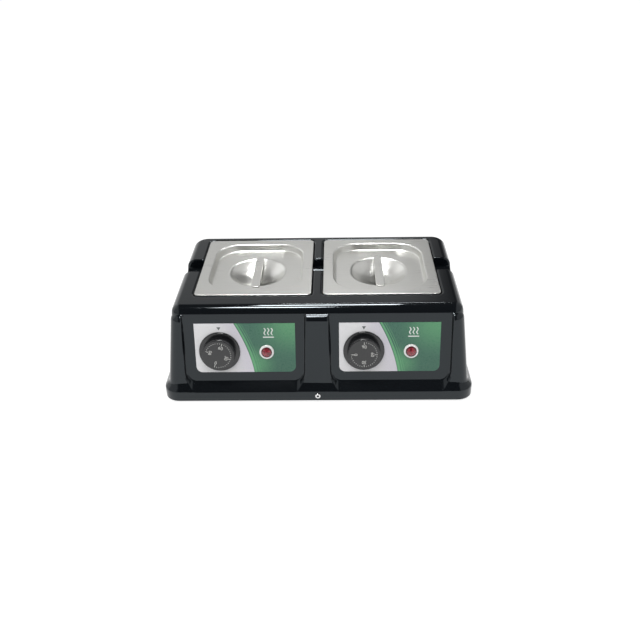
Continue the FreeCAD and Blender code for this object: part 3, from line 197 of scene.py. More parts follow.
class WarmerStage(bpy.types.PropertyGroup):
    """Camera, lights and floor of the picture."""

    camera_place: FloatVectorProperty(
        name="Camera place",
        description="Where the camera stands",
        default=(0.02615, -0.97203, 0.63167),
        size=3,
        subtype="TRANSLATION",
        unit="LENGTH",
    )
    camera_pitch: angle("Camera pitch", "How far the camera looks down", 30.951)
    camera_yaw: angle("Camera yaw", "How far the camera looks to the right", -1.454)
    camera_roll: angle("Camera roll", "How far the camera leans", 1.169)
    camera_lens: FloatProperty(
        name="Lens",
        description="Focal length on a 36 mm sensor",
        default=42.135,
        min=1.0,
        subtype="DISTANCE_CAMERA",
    )
    key_power: FloatProperty(
        name="Key light", description="Power of the soft key light", default=26.0, unit="POWER"
    )
    strip_glow: FloatProperty(
        name="Strip lights", description="Brightness of the strips in reflections", default=42.0, min=0.0
    )
    fill: share("Fill", "Strength of the even light from all round", 0.50)
    wall: share("Back wall", "Brightness of the studio's back wall in reflections", 0.48)
    side_wall: share("Side walls", "Brightness of the studio's side walls in reflections", 0.60)
    ceiling: share("Ceiling", "Brightness of the studio's ceiling and front in reflections", 0.08)
    floor: tint("Floor", "Colour of the floor", (0.82, 0.82, 0.82))


class Value:
    """A node socket that takes part in Python sums: each sum adds its Math node."""

    def __init__(self, nodes, socket):
        self.nodes = nodes
        self.socket = socket

    def __add__(self, other):
        return self.nodes.sum("ADD", self, other)

    __radd__ = __add__

    def __sub__(self, other):
        return self.nodes.sum("SUBTRACT", self, other)

    def __rsub__(self, other):
        return self.nodes.sum("SUBTRACT", other, self)

    def __mul__(self, other):
        return self.nodes.sum("MULTIPLY", self, other)

    __rmul__ = __mul__

    def __truediv__(self, other):
        return self.nodes.sum("DIVIDE", self, other)

    def __lt__(self, other):
        return self.nodes.sum("LESS_THAN", self, other)

    def __abs__(self):
        return self.nodes.sum("ABSOLUTE", self, 0.0)


class Nodes:
    """A node tree and the one way that nodes are added to it."""

    def __init__(self, tree):
        self.tree = tree

    def add(self, kind, settings=None, sockets=None, out=0):
        """Add a node, set it up, fill its sockets with values or links, and give one output."""
        node = self.tree.nodes.new(kind)
        for name, setting in (settings or {}).items():
            if name == "stops":
                self.set_stops(node.color_ramp, setting)
            else:
                setattr(node, name, setting)
        for name, value in (sockets or {}).items():
            if isinstance(value, Value):
                self.tree.links.new(value.socket, node.inputs[name])
            else:
                node.inputs[name].default_value = value
        return Value(self, node.outputs[out]) if node.outputs else node

    @staticmethod
    def set_stops(ramp, stops):
        while len(ramp.elements) < len(stops):
            ramp.elements.new(1.0)
        for element, (position, colour) in zip(ramp.elements, stops):
            element.position = position
            element.color = (*colour, 1.0)

    def sum(self, operation, first, second):
        return self.add("ShaderNodeMath", {"operation": operation}, {0: first, 1: second})

    def sine(self, value):
        return self.sum("SINE", value, 0.0)

    def cosine(self, value):
        return self.sum("COSINE", value, 0.0)

    def ease(self, value, start, end):
        """0 on start's side and 1 on end's side, with a soft step between the two."""
        sockets = {"Value": value, "From Min": start, "From Max": end}
        if start > end:
            sockets.update({"From Min": end, "From Max": start, "To Min": 1.0, "To Max": 0.0})
        return self.add("ShaderNodeMapRange", {"interpolation_type": "SMOOTHSTEP"}, sockets)

    def blend(self, share_of_second, first, second):
        """A colour between two colours."""
        settings = {"data_type": "RGBA", "clamp_factor": True}
        first = first if isinstance(first, Value) else (*first, 1.0)
        second = second if isinstance(second, Value) else (*second, 1.0)
        return self.add("ShaderNodeMix", settings, {0: share_of_second, 6: first, 7: second}, 2)

    def vector(self, x, y, z):
        return self.add("ShaderNodeCombineXYZ", None, {"X": x, "Y": y, "Z": z})

    def axes(self, place):
        """The x, y and z of a place."""
        split = self.tree.nodes.new("ShaderNodeSeparateXYZ")
        self.tree.links.new(place.socket, split.inputs[0])
        return [Value(self, output) for output in split.outputs]

    def distance(self, across, along):
        return self.sum("SQRT", across * across + along * along, 0.0)


class Finish(Nodes):
    """One material, made of nodes that read the piece's own place."""

    def __init__(self, name):
        self.material = bpy.data.materials.new(name)
        self.material.use_nodes = True
        super().__init__(self.material.node_tree)
        self.tree.nodes.clear()
        self.place = self.add("ShaderNodeTexCoord", None, None, "Object")

    def stretched(self, scale):
        """The piece's place, stretched along its axes."""
        return self.add("ShaderNodeMapping", None, {"Vector": self.place, "Scale": scale})

    def noise(self, scale, detail=2.0, roughness=0.5, place=None):
        sockets = {"Vector": place or self.place, "Scale": scale, "Detail": detail, "Roughness": roughness}
        return self.add("ShaderNodeTexNoise", None, sockets)

    def cells(self, scale, feature="F1"):
        sockets = {"Vector": self.place, "Scale": scale}
        return self.add("ShaderNodeTexVoronoi", {"feature": feature}, sockets, "Distance")

    def bump(self, height, strength, distance):
        sockets = {"Height": height, "Strength": strength, "Distance": distance}
        return self.add("ShaderNodeBump", None, sockets)

    def surface(self, sockets):
        """Close the material with one principled surface."""
        shader = self.add("ShaderNodeBsdfPrincipled", None, sockets)
        self.add("ShaderNodeOutputMaterial", None, {"Surface": shader})
        return self.material


def scaled(colour, factor):
    return tuple(min(1.0, channel * factor) for channel in colour)


def gloss_plastic(name, colour):
    """Thermoformed plastic: deep gloss, a faint orange peel and a little dust and handling."""
    f = Finish(name)
    cloud = f.noise(9.0, detail=4.0, roughness=0.55)
    peel = f.noise(260.0, detail=2.0, roughness=0.45)
    grit = f.noise(1900.0, detail=2.0, roughness=0.6)
    dust = f.ease(grit, 0.66, 0.80) * f.ease(cloud, 0.45, 0.75)
    base = f.blend(cloud, scaled(colour, 0.75), scaled(colour, 1.35))
    base = f.blend(dust * 0.05, base, (0.35, 0.34, 0.32))
    return f.surface(
        {
            "Base Color": base,
            "Roughness": 0.055 + 0.045 * cloud + 0.10 * dust,
            "IOR": 1.50,
            "Specular Tint": (0.86, 0.95, 1.0, 1.0),
            "Normal": f.bump(peel, strength=0.015, distance=0.00006),
        }
    )


def satin_steel(name, colour, along):
    """Rolled steel with a fine grain along one axis, and cloudy handling marks."""
    f = Finish(name)
    grain = f.noise(1.0, detail=3.0, roughness=0.6, place=f.stretched(along))
    cloud = f.noise(16.0, detail=4.0, roughness=0.6)
    smear = f.ease(f.noise(42.0, detail=3.0, roughness=0.65), 0.55, 0.80)
    base = f.blend(grain, scaled(colour, 0.93), scaled(colour, 1.06))
    base = f.blend(cloud * 0.25, base, scaled(colour, 0.90))
    return f.surface(
        {
            "Base Color": base,
            "Metallic": 1.0,
            "Roughness": 0.235 + 0.055 * grain + 0.05 * cloud + 0.03 * smear,
            "Normal": f.bump(grain, strength=0.12, distance=0.00003),
        }
    )


def bright_plate(name, colour):
    """Plated metal with fine turning marks and slight clouding."""
    f = Finish(name)
    cloud = f.noise(140.0, detail=3.0, roughness=0.6)
    fine = f.noise(2600.0, detail=2.0, roughness=0.5)
    return f.surface(
        {
            "Base Color": f.blend(cloud, scaled(colour, 0.86), scaled(colour, 1.05)),
            "Metallic": 1.0,
            "Roughness": 0.14 + 0.14 * cloud,
            "Normal": f.bump(fine, strength=0.08, distance=0.00002),
        }
    )


def moulded(name, colour, shine, grain, gloss=0.5):
    """Moulded plastic with a spark-eroded grain; shine is its roughness and gloss its mirror strength."""
    f = Finish(name)
    texture = f.noise(grain, detail=3.0, roughness=0.6)
    cloud = f.noise(30.0, detail=3.0, roughness=0.55)
    return f.surface(
        {
            "Base Color": f.blend(cloud, scaled(colour, 0.85), scaled(colour, 1.18)),
            "Roughness": shine + 0.07 * texture + 0.05 * cloud,
            "Specular IOR Level": gloss,
            "Normal": f.bump(texture, strength=0.16, distance=0.00005),
        }
    )


def coated_sheet(name, colour):
    """Sheet steel under a pebbled powder coat."""
    f = Finish(name)
    pebble = f.cells(520.0, "SMOOTH_F1")
    cloud = f.noise(12.0, detail=4.0, roughness=0.55)
    return f.surface(
        {
            "Base Color": f.blend(cloud, scaled(colour, 0.82), scaled(colour, 1.2)),
            "Roughness": 0.40 + 0.16 * pebble + 0.06 * cloud,
            "Normal": f.bump(pebble, strength=0.30, distance=0.0001),
        }
    )


def soft_rubber(name, colour):
    """Dull rubber with a fine skin and a bloom of dust."""
    f = Finish(name)
    skin = f.noise(1300.0, detail=3.0, roughness=0.65)
    bloom = f.ease(f.noise(55.0, detail=4.0, roughness=0.6), 0.45, 0.85)
    return f.surface(
        {
            "Base Color": f.blend(bloom * 0.35, scaled(colour, 0.9), scaled(colour, 2.2)),
            "Roughness": 0.66 + 0.16 * bloom,
            "Normal": f.bump(skin, strength=0.30, distance=0.00008),
        }
    )


def matted_fibre(name, colour):
    """Loose mineral fibre: crossed strands and pale tufts."""
    f = Finish(name)
    one_way = f.noise(1.0, detail=4.0, roughness=0.7, place=f.stretched((60.0, 700.0, 380.0)))
    other_way = f.noise(1.0, detail=4.0, roughness=0.7, place=f.stretched((640.0, 90.0, 300.0)))
    strands = 0.5 * one_way + 0.5 * other_way
    return f.surface(
        {
            "Base Color": f.blend(f.ease(strands, 0.30, 0.70), scaled(colour, 0.62), scaled(colour, 1.2)),
            "Roughness": 0.95,
            "Normal": f.bump(strands, strength=0.70, distance=0.0012),
        }
    )


def drawn_metal(name, colour):
    """Drawn brass or copper with draw lines and a faint tarnish."""
    f = Finish(name)
    lines = f.noise(1.0, detail=2.0, roughness=0.5, place=f.stretched((180.0, 1800.0, 1800.0)))
    tarnish = f.ease(f.noise(75.0, detail=4.0, roughness=0.6), 0.40, 0.85)
    return f.surface(
        {
            "Base Color": f.blend(tarnish * 0.6, colour, scaled(colour, 0.55)),
            "Metallic": 1.0,
            "Roughness": 0.22 + 0.08 * lines + 0.14 * tarnish,
            "Normal": f.bump(lines, strength=0.12, distance=0.00002),
        }
    )


def red_lens(name, colour, middle, up, radius):
    """Clear red plastic over moulded prisms, with painted shade darkening its rim where it turns into the
    bezel.
    """
    f = Finish(name)
    prism = f.cells(520.0)
    x, y, z = f.axes(f.place)
    reach = f.distance(x - middle.x, y * up.y + z * up.z - middle.dot(up)) / radius
    base = f.blend(f.ease(prism, 0.15, 0.60), scaled(colour, 1.7), scaled(colour, 0.40))
    # Painted shade: the lens darkens toward its rim by the bezel
    base = f.blend(f.ease(reach, 0.62, 0.86) * 0.85, base, scaled(colour, 0.16))
    return f.surface(
        {
            "Base Color": base,
            "Roughness": 0.10 + 0.08 * prism,
            "IOR": 1.49,
            "Coat Weight": 0.6,
            "Coat Roughness": 0.05,
            "Normal": f.bump(prism, strength=0.35, distance=0.00025),
        }
    )


def paint(name, colour):
    """Printed paint, slightly uneven."""
    f = Finish(name)
    speck = f.noise(1500.0, detail=3.0, roughness=0.6)
    return f.surface(
        {
            "Base Color": f.blend(speck, scaled(colour, 0.82), scaled(colour, 1.1)),
            "Roughness": 0.42 + 0.12 * speck,
            "Normal": f.bump(speck, strength=0.10, distance=0.00003),
        }
    )


# The print on a label, in millimetres from the dial's axis: x across and y up the panel.
EDGE_DISTANCE = 38.5
EDGE_SLANT = 0.34
EDGE_BOW = 0.0028
EDGE_SOFTNESS = 0.2
SHADE_REACH = 34.0
DUSK_TOP = 20.0
DUSK_FOOT = -34.0
# Glows on the green field: middle x and y, outer and inner radius, strength.
GLOWS = ((100.0, 44.0, 58.0, 4.0, 0.75), (51.0, -18.0, 30.0, 2.0, 0.6))
# Bands along the green field's edge: start, end, softness, strength.
BANDS = ((1.2, 4.3, 0.3, 0.85), (6.2, 7.4, 0.2, 0.7), (9.4, 10.1, 0.1, 0.55))
WEAVE_PITCH = 2.2
WEAVE_DEPTH = 0.035
WEAVE_COLOUR = (0.02, 0.05, 0.04)
# The heat sign over the lamp: rising waves, and a bar under them.
SIGN_COLOUR = (0.80, 0.82, 0.80)
SIGN_SHIFT = 3.0
SIGN_RISE = 28.0
WAVE_SWAY = 0.9
WAVE_PITCH = 0.78
WAVE_HALF_GAP = 2.4
WAVE_HALF_WIDTH = 0.72
WAVES_HALF_WIDTH = 7.2
WAVES_HALF_HEIGHT = 5.2
BAR_DROP = 8.0
BAR_HALF_WIDTH = 7.4
BAR_HALF_HEIGHT = 0.75
# The index mark over the dial, a triangle that points down at it.
INDEX_TIP = 30.2
INDEX_TOP = 34.8
INDEX_SLOPE = 0.60


def overlay_print(name, c, width, dial, lamp_x):
    """A printed overlay: pale field by the dial, green field by the lamp, slanting bands and a heat sign.

    The label's width, the dial's place on the label and the lamp's distance from the dial are millimetres.
    """
    f = Finish(name)
    across, upwards, _ = f.axes(f.add("ShaderNodeUVMap", {"uv_map": "print"}))
    x = across * width - dial[0]
    y = upwards * width - dial[1]
    beyond = x + EDGE_SLANT * y + EDGE_BOW * (y * y) - EDGE_DISTANCE
    pale = f.blend(f.ease(beyond, -SHADE_REACH, 0.0), c.print_white, c.print_shade)
    dusk = f.ease(y, DUSK_TOP, DUSK_FOOT)
    field = f.blend(dusk * 0.35, c.print_green, scaled(c.print_green, 0.72))
    for middle_x, middle_y, outer, inner, strength in GLOWS:
        glow = f.ease(f.distance(x - middle_x, y - middle_y), outer, inner)
        field = f.blend(glow * strength, field, c.print_glow)
    weave = f.sine((x - y) * WEAVE_PITCH)
    field = f.blend(WEAVE_DEPTH + WEAVE_DEPTH * weave, field, WEAVE_COLOUR)
    stripes = 0.0
    for start, end, softness, strength in BANDS:
        band = f.ease(beyond, start, start + softness) * f.ease(beyond, end, end - softness)
        stripes = band * strength + stripes
    field = f.blend(stripes, field, scaled(c.print_glow, 1.15))
    ink = f.blend(f.ease(beyond, -EDGE_SOFTNESS, EDGE_SOFTNESS), pale, field)
    sign_x = x - (lamp_x + SIGN_SHIFT)
    sign_y = y - SIGN_RISE
    wave = sign_x - WAVE_SWAY * f.sine(sign_y * WAVE_PITCH)
    wrap = {0: wave, 1: WAVE_HALF_GAP, 2: -WAVE_HALF_GAP}
    near = abs(f.add("ShaderNodeMath", {"operation": "WRAP"}, wrap))
    waves = (near < WAVE_HALF_WIDTH) * (abs(wave) < WAVES_HALF_WIDTH) * (abs(sign_y) < WAVES_HALF_HEIGHT)
    bar = (abs(sign_x) < BAR_HALF_WIDTH) * (abs(sign_y + BAR_DROP) < BAR_HALF_HEIGHT)
    ink = f.blend((waves + bar) * 0.92, ink, SIGN_COLOUR)
    index = (abs(x) < (y - INDEX_TIP) * INDEX_SLOPE) * (y < INDEX_TOP)
    ink = f.blend(index * 0.9, ink, c.print_ink)
    speck = f.noise(900.0, detail=2.0, roughness=0.5)
    return f.surface(
        {
            "Base Color": ink,
            "Roughness": 0.24 + 0.08 * speck,
            "Normal": f.bump(speck, strength=0.06, distance=0.00003),
        }
    )


def colours():
    return bpy.context.scene.warmer_colours


def sizes():
    return bpy.context.scene.warmer_sizes


def finish_once(name, make, *details):
    """A material by name, made the first time it is asked for."""
    return bpy.data.materials.get(name) or make(name, *details)


def steel():
    return finish_once("satin_steel", satin_steel, colours().steel, (26.0, 950.0, 950.0))


def plate():
    return finish_once("bright_plate", bright_plate, colours().plate)


def brass():
    return finish_once("bright_brass", drawn_metal, colours().brass)


def nylon():
    return finish_once("natural_nylon", moulded, colours().nylon, 0.42, 1000.0)


# The finish of painted shade in screw recesses and sockets
def recess_dark():
    return finish_once("recess_dark", paint, colours().slot)


def new_object(name, data):
    thing = bpy.data.objects.new(name, data)
    bpy.context.scene.collection.objects.link(thing)
    return thing


def flatten(piece):
    """Turn a piece's modifiers into plain mesh."""
    graph = bpy.context.evaluated_depsgraph_get()
    mesh = bpy.data.meshes.new_from_object(piece.evaluated_get(graph), depsgraph=graph)
    if not mesh.polygons:
        raise RuntimeError(piece.name + " came out empty")
    piece.modifiers.clear()
    piece.data = mesh
    return piece


def dressed(node, finish, crease=PLAIN_CREASE):
    """A merged, smooth copy of a solid, which it stands for in the picture."""
    solid = frame["nodes"][node]
    work = bmesh.new()
    work.from_mesh(solid.data)
    bmesh.ops.remove_doubles(work, verts=work.verts, dist=MERGE)
    limit = math.radians(crease)
    for edge in work.edges:
        edge.smooth = edge.is_manifold and edge.calc_face_angle() < limit
    for face in work.faces:
        face.smooth = True
        face.material_index = 0
    mesh = bpy.data.meshes.new(node + "_skin")
    work.to_mesh(mesh)
    work.free()
    mesh.materials.append(finish)
    piece = new_object(node + "_skin", mesh)
    even = piece.modifiers.new("even_shading", "WEIGHTED_NORMAL")
    even.keep_sharp = True
    even.weight = NORMAL_WEIGHT
    flatten(piece)
    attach(piece, solid["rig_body"])
    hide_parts(node)
    return piece


def paint_socket_shade(piece, finish, radius):
    """Give the sockets of the screws that stand out along X and Y a dark finish of painted shade."""
    piece.data.materials.append(finish)
    low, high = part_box("casing_screws")
    middle = (low + high) / 2
    for face in piece.data.polygons:
        off = face.center - middle
        across = off.y if abs(off.x) > abs(off.y) else off.x
        if math.hypot(across, off.z) < radius:
            face.material_index = 1


def on_body(piece, body):
    """Put a finished new piece on its body."""
    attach(piece, body)


def joint_named(name):
    for joint in frame["joints"]:
        if joint["name"] == name:
            return joint
    raise RuntimeError("no joint named " + name)


def dial_matrix(side):
    """The dial's own frame at rest: x across, y up the panel, z out along the shaft, turned as it rests."""
    joint = joint_named(side + "_knob_turn")
    out = Vector(joint["axis"]).normalized()
    turn = Matrix((ACROSS, out.cross(ACROSS), out)).transposed().to_4x4()
    rest = Matrix.Rotation(-math.radians(joint["range_deg"][0]), 4, "Z")
    return Matrix.Translation(joint["pos_m"]) @ turn @ rest


def panel_up(side):
    """The way up the front panel, square to the dial's axis."""
    return Vector(joint_named(side + "_knob_turn")["axis"]).cross(ACROSS)


def height_along(node, matrix):
    """How far a solid reaches along the z axis of a frame."""
    inverse = matrix.inverted()
    return max((inverse @ vertex.co).z for vertex in frame["nodes"][node].data.vertices)


class Shape(Nodes):
    """A Geometry Nodes tree with named sizes, run on one object and turned into plain mesh."""

    def __init__(self, name, inputs):
        super().__init__(bpy.data.node_groups.new(name, "GeometryNodeTree"))
        self.tree.is_modifier = True
        self.keys = {}
        self.tree.interface.new_socket("Geometry", in_out="INPUT", socket_type="NodeSocketGeometry")
        for label, kind in inputs.items():
            socket = self.tree.interface.new_socket(label, in_out="INPUT", socket_type=kind)
            self.keys[label] = socket.identifier
        self.tree.interface.new_socket("Geometry", in_out="OUTPUT", socket_type="NodeSocketGeometry")
        self.source = self.tree.nodes.new("NodeGroupInput")

    def size(self, label):
        """What goes into the tree under a label."""
        return Value(self, self.source.outputs[label])

    def close(self, instances, finish):
        """Make the instances real, give them their finish and end the tree."""
        real = self.add("GeometryNodeRealizeInstances", None, {"Geometry": instances})
        painted = self.add("GeometryNodeSetMaterial", None, {"Geometry": real, "Material": finish})
        self.add("NodeGroupOutput", None, {"Geometry": painted})

    def run(self, name, mesh, values):
        """A plain mesh piece that the tree makes from a mesh and its sizes."""
        piece = new_object(name, mesh)
        modifier = piece.modifiers.new(self.tree.name, "NODES")
        modifier.node_group = self.tree
        for label, value in values.items():
            modifier[self.keys[label]] = value
        return flatten(piece)


def tick_shape(finish):
    """Ticks on an arc, clockwise from the top of the dial."""
    inputs = {"Count": "NodeSocketInt", "Sweep": "NodeSocketFloat", "Radius": "NodeSocketFloat"}
    inputs.update({"Length": "NodeSocketFloat", "Width": "NodeSocketFloat", "Height": "NodeSocketFloat"})
    shape = Shape("dial_ticks", inputs)
    index = shape.add("GeometryNodeInputIndex")
    turn = index / (shape.size("Count") - 1.0) * shape.size("Sweep")
    radius = shape.size("Radius")
    place = shape.vector(radius * shape.sine(turn), radius * shape.cosine(turn), shape.size("Height") / 2.0)
    points = shape.add("GeometryNodePoints", None, {"Count": shape.size("Count"), "Position": place})
    bar_size = shape.vector(shape.size("Width"), shape.size("Length"), shape.size("Height"))
    bar = shape.add("GeometryNodeMeshCube", None, {"Size": bar_size})
    sockets = {"Points": points, "Instance": bar, "Rotation": shape.vector(0.0, 0.0, 0.0 - turn)}
    shape.close(shape.add("GeometryNodeInstanceOnPoints", None, sockets), finish)
    return shape


def weld_shape(finish):
    """A low round pad with a slanting rim at each point of a mesh."""
    shape = Shape("spot_welds", {"Radius": "NodeSocketFloat", "Height": "NodeSocketFloat"})
    pad = shape.add(
        "GeometryNodeMeshCone",
        None,
        {
            "Vertices": WELD_SIDES,
            "Radius Top": shape.size("Radius") * WELD_TOP_SHARE,
            "Radius Bottom": shape.size("Radius"),
            "Depth": shape.size("Height"),
        },
    )
    sockets = {"Points": shape.size("Geometry"), "Instance": pad}
    shape.close(shape.add("GeometryNodeInstanceOnPoints", None, sockets), finish)
    return shape


def cross_shape(finish):
    """A cross at each point of a mesh, facing along the point's aim."""
    inputs = {"Length": "NodeSocketFloat", "Width": "NodeSocketFloat", "Height": "NodeSocketFloat"}
    shape = Shape("cross_recesses", inputs)
    lengthwise = shape.vector(shape.size("Length"), shape.size("Width"), shape.size("Height"))
    crosswise = shape.vector(shape.size("Width"), shape.size("Length"), shape.size("Height"))
    arms = shape.tree.nodes.new("GeometryNodeJoinGeometry")
    for arm in (lengthwise, crosswise):
        bar = shape.add("GeometryNodeMeshCube", None, {"Size": arm})
        shape.tree.links.new(bar.socket, arms.inputs[0])
    aim = shape.add("GeometryNodeInputNamedAttribute", {"data_type": "FLOAT_VECTOR"}, {"Name": "aim"})
    facing = shape.add("FunctionNodeAlignRotationToVector", {"axis": "Z"}, {"Vector": aim})
    sockets = {
        "Points": shape.size("Geometry"),
        "Instance": Value(shape, arms.outputs[0]),
        "Rotation": facing,
    }
    shape.close(shape.add("GeometryNodeInstanceOnPoints", None, sockets), finish)
    return shape


def point_mesh(name, places, aim=None):
    """A mesh of loose points, each with the way it faces."""
    mesh = bpy.data.meshes.new(name)
    mesh.from_pydata([tuple(place) for place in places], [], [])
    if aim is not None:
        attribute = mesh.attributes.new("aim", "FLOAT_VECTOR", "POINT")
        for entry in attribute.data:
            entry.vector = aim
    return mesh


def head_places(node, aim):
    """The middle of each head's outer face, for a node of several screws."""
    work = bmesh.new()
    work.from_mesh(frame["nodes"][node].data)
    bmesh.ops.remove_doubles(work, verts=work.verts, dist=MERGE)
    left = set(work.verts)
    places = []
    while left:
        island = {left.pop()}
        edge_of_island = list(island)
        while edge_of_island:
            vertex = edge_of_island.pop()
            for edge in vertex.link_edges:
                other = edge.other_vert(vertex)
                if other in left:
                    left.remove(other)
                    island.add(other)
                    edge_of_island.append(other)
        top = max(vertex.co.dot(aim) for vertex in island)
        face = [vertex.co.copy() for vertex in island if vertex.co.dot(aim) > top - HEAD_FLATNESS]
        low = Vector(map(min, zip(*face)))
        high = Vector(map(max, zip(*face)))
        places.append((low + high) / 2)
    work.free()
    return sorted(places, key=lambda place: tuple(round(value, 5) for value in place))


def digits(text, height, thickness):
    """A number as mesh, standing on the XY plane with its middle on the Z axis."""
    curve = bpy.data.curves.new("digits", "FONT")
    curve.body = text
    curve.size = height / FIGURE_SHARE
    curve.align_x = "CENTER"
    curve.align_y = "CENTER"
    curve.extrude = thickness / 2
    curve.resolution_u = FIGURE_STEPS
    holder = new_object("digits", curve)
    graph = bpy.context.evaluated_depsgraph_get()
    mesh = bpy.data.meshes.new_from_object(holder.evaluated_get(graph), depsgraph=graph)
    mesh.transform(Matrix.Translation((0.0, 0.0, thickness / 2)))
    bpy.data.objects.remove(holder)
    bpy.data.curves.remove(curve)
    return mesh


class WARMER_OT_casing(bpy.types.Operator):
    """Dress the casing in glossy black plastic"""

    bl_idname = "warmer.casing"
    bl_label = "Casing"

    def execute(self, context):
        dressed("casing", finish_once("casing_gloss", gloss_plastic, colours().casing), CASING_CREASE)
        return {"FINISHED"}


class WARMER_OT_lids(bpy.types.Operator):
    """Dress the lids and their strap handles, and mark the straps' spot welds"""

    bl_idname = "warmer.lids"
    bl_label = "Lids and handles"

    def execute(self, context):
        welds = weld_shape(steel())
        size = sizes()
        for side in SIDES:
            dressed(side + "_lid", steel(), SHEET_CREASE)
            dressed(side + "_lid_handle", steel(), SHEET_CREASE)
            low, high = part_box(side + "_lid_handle")
            middle = (low.x + high.x) / 2
            ends = (low.y + size.weld_inset, high.y - size.weld_inset)
            places = [(middle, y, high.z) for y in ends]
            values = {"Radius": size.weld_radius, "Height": size.weld_height}
            piece = welds.run(side + "_spot_welds", point_mesh(side + "_weld_points", places), values)
            on_body(piece, side + "_lid_body")
        return {"FINISHED"}


class WARMER_OT_pans(bpy.types.Operator):
    """Dress the pans, the heating wells under them and the wells' screws"""

    bl_idname = "warmer.pans"
    bl_label = "Pans and wells"

    def execute(self, context):
        well = finish_once("well_aluminium", satin_steel, colours().well, (900.0, 900.0, 30.0))
        for side in SIDES:
            dressed(side + "_pan", steel(), SHEET_CREASE)
            dressed(side + "_well", well, SHEET_CREASE)
        dressed("well_screws", plate())
        return {"FINISHED"}


class WARMER_OT_dials(bpy.types.Operator):
    """Dress the dials and their shafts, and paint each dial's numbers and ticks"""

    bl_idname = "warmer.dials"
    bl_label = "Dials"

    def execute(self, context):
        size = sizes()
        satin = finish_once("dial_satin", moulded, colours().knob, 0.14, 1500.0, 0.75)
        white = finish_once("dial_paint", paint, colours().marks)
        ticks = tick_shape(white)
        numbers = ("90", "60", "30", "0")
        fine = {"Count": size.tick_count, "Radius": size.tick_radius, "Length": size.tick_length}
        fine.update({"Width": size.tick_width, "Sweep": size.tick_sweep, "Height": size.paint})
        bold = {"Count": len(numbers), "Radius": size.long_tick_radius, "Length": size.long_tick_length}
        bold.update({"Width": size.long_tick_width, "Sweep": size.tick_sweep, "Height": size.paint})
        for side in SIDES:
            dressed(side + "_knob", satin, DIAL_CREASE)
            dressed(side + "_thermostat_shaft", plate())
            matrix = dial_matrix(side)
            face = Matrix.Translation((0.0, 0.0, height_along(side + "_knob", matrix)))
            for label, values in (("fine_ticks", fine), ("long_ticks", bold)):
                mesh = bpy.data.meshes.new(side + "_" + label)
                piece = ticks.run(side + "_" + label, mesh, values)
                piece.data.transform(matrix @ face)
                on_body(piece, side + "_knob_body")
            for index, text in enumerate(numbers):
                turn = Matrix.Rotation(-index * size.tick_sweep / (len(numbers) - 1), 4, "Z")
                out = Matrix.Translation((0.0, size.number_radius, 0.0))
                mesh = digits(text, size.number_height, size.paint)
                mesh.transform(matrix @ face @ turn @ out)
                mesh.materials.clear()
                mesh.materials.append(white)
                piece = new_object(side + "_number_" + text, mesh)
                on_body(piece, side + "_knob_body")
        return {"FINISHED"}


class WARMER_OT_labels(bpy.types.Operator):
    """Dress the label behind each dial and lamp in its print"""

    bl_idname = "warmer.labels"
    bl_label = "Labels"

    def execute(self, context):
        for side in SIDES:
            up = panel_up(side)
            low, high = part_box(side + "_label")
            foot = min(vertex.co.dot(up) for vertex in frame["nodes"][side + "_label"].data.vertices)
            width = high.x - low.x
            origin = dial_matrix(side).translation
            dial = ((origin.x - low.x) / MILLI, (origin.dot(up) - foot) / MILLI)
            lamp_low, lamp_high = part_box(side + "_lamp_lens")
            lamp_x = ((lamp_low.x + lamp_high.x) / 2 - origin.x) / MILLI
            finish = overlay_print(side + "_overlay_print", colours(), width / MILLI, dial, lamp_x)
            piece = dressed(side + "_label", finish)
            layer = piece.data.uv_layers.new(name="print")
            for loop in piece.data.loops:
                place = piece.data.vertices[loop.vertex_index].co
                layer.data[loop.index].uv = ((place.x - low.x) / width, (place.dot(up) - foot) / width)
        return {"FINISHED"}


class WARMER_OT_lamps(bpy.types.Operator):
    """Dress the pilot lamps: bezel, lens, body and nut"""

    bl_idname = "warmer.lamps"
    bl_label = "Pilot lamps"

    def execute(self, context):
        white = finish_once("bezel_gloss", moulded, colours().bezel, 0.16, 1200.0)
        body = finish_once("lamp_moulding", moulded, colours().amber, 0.40, 900.0)
        for side in SIDES:
            dressed(side + "_lamp_bezel", white)
            low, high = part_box(side + "_lamp_lens")
            details = (colours().lens, (low + high) / 2, panel_up(side), (high.x - low.x) / 2)
            lens = finish_once(side + "_lens_red", red_lens, *details)
            dressed(side + "_lamp_lens", lens, LENS_CREASE)
            dressed(side + "_lamp_body", body)
            dressed(side + "_lamp_nut", nylon())
        return {"FINISHED"}


class WARMER_OT_base(bpy.types.Operator):
    """Dress the base tray, the feet and the screws that hold the casing"""

    bl_idname = "warmer.base"
    bl_label = "Base"

    def execute(self, context):
        dressed("base_tray", finish_once("tray_coat", coated_sheet, colours().tray))
        dressed("rubber_feet", finish_once("foot_rubber", soft_rubber, colours().rubber))
        dressed("foot_screws", plate())
        screws = dressed("casing_screws", plate(), ROUND_CREASE)
        # The sockets' faces take painted shade
        paint_socket_shade(screws, recess_dark(), sizes().socket_shade_radius)
        return {"FINISHED"}


class WARMER_OT_inlet(bpy.types.Operator):
    """Dress the mains inlet, its contacts and its screws"""

    bl_idname = "warmer.inlet"
    bl_label = "Mains inlet"

    def execute(self, context):
        dressed("power_inlet", finish_once("inlet_moulding", moulded, colours().inlet, 0.38, 1100.0))
        dressed("inlet_pins", brass())
        dressed("inlet_screws", plate())
        return {"FINISHED"}


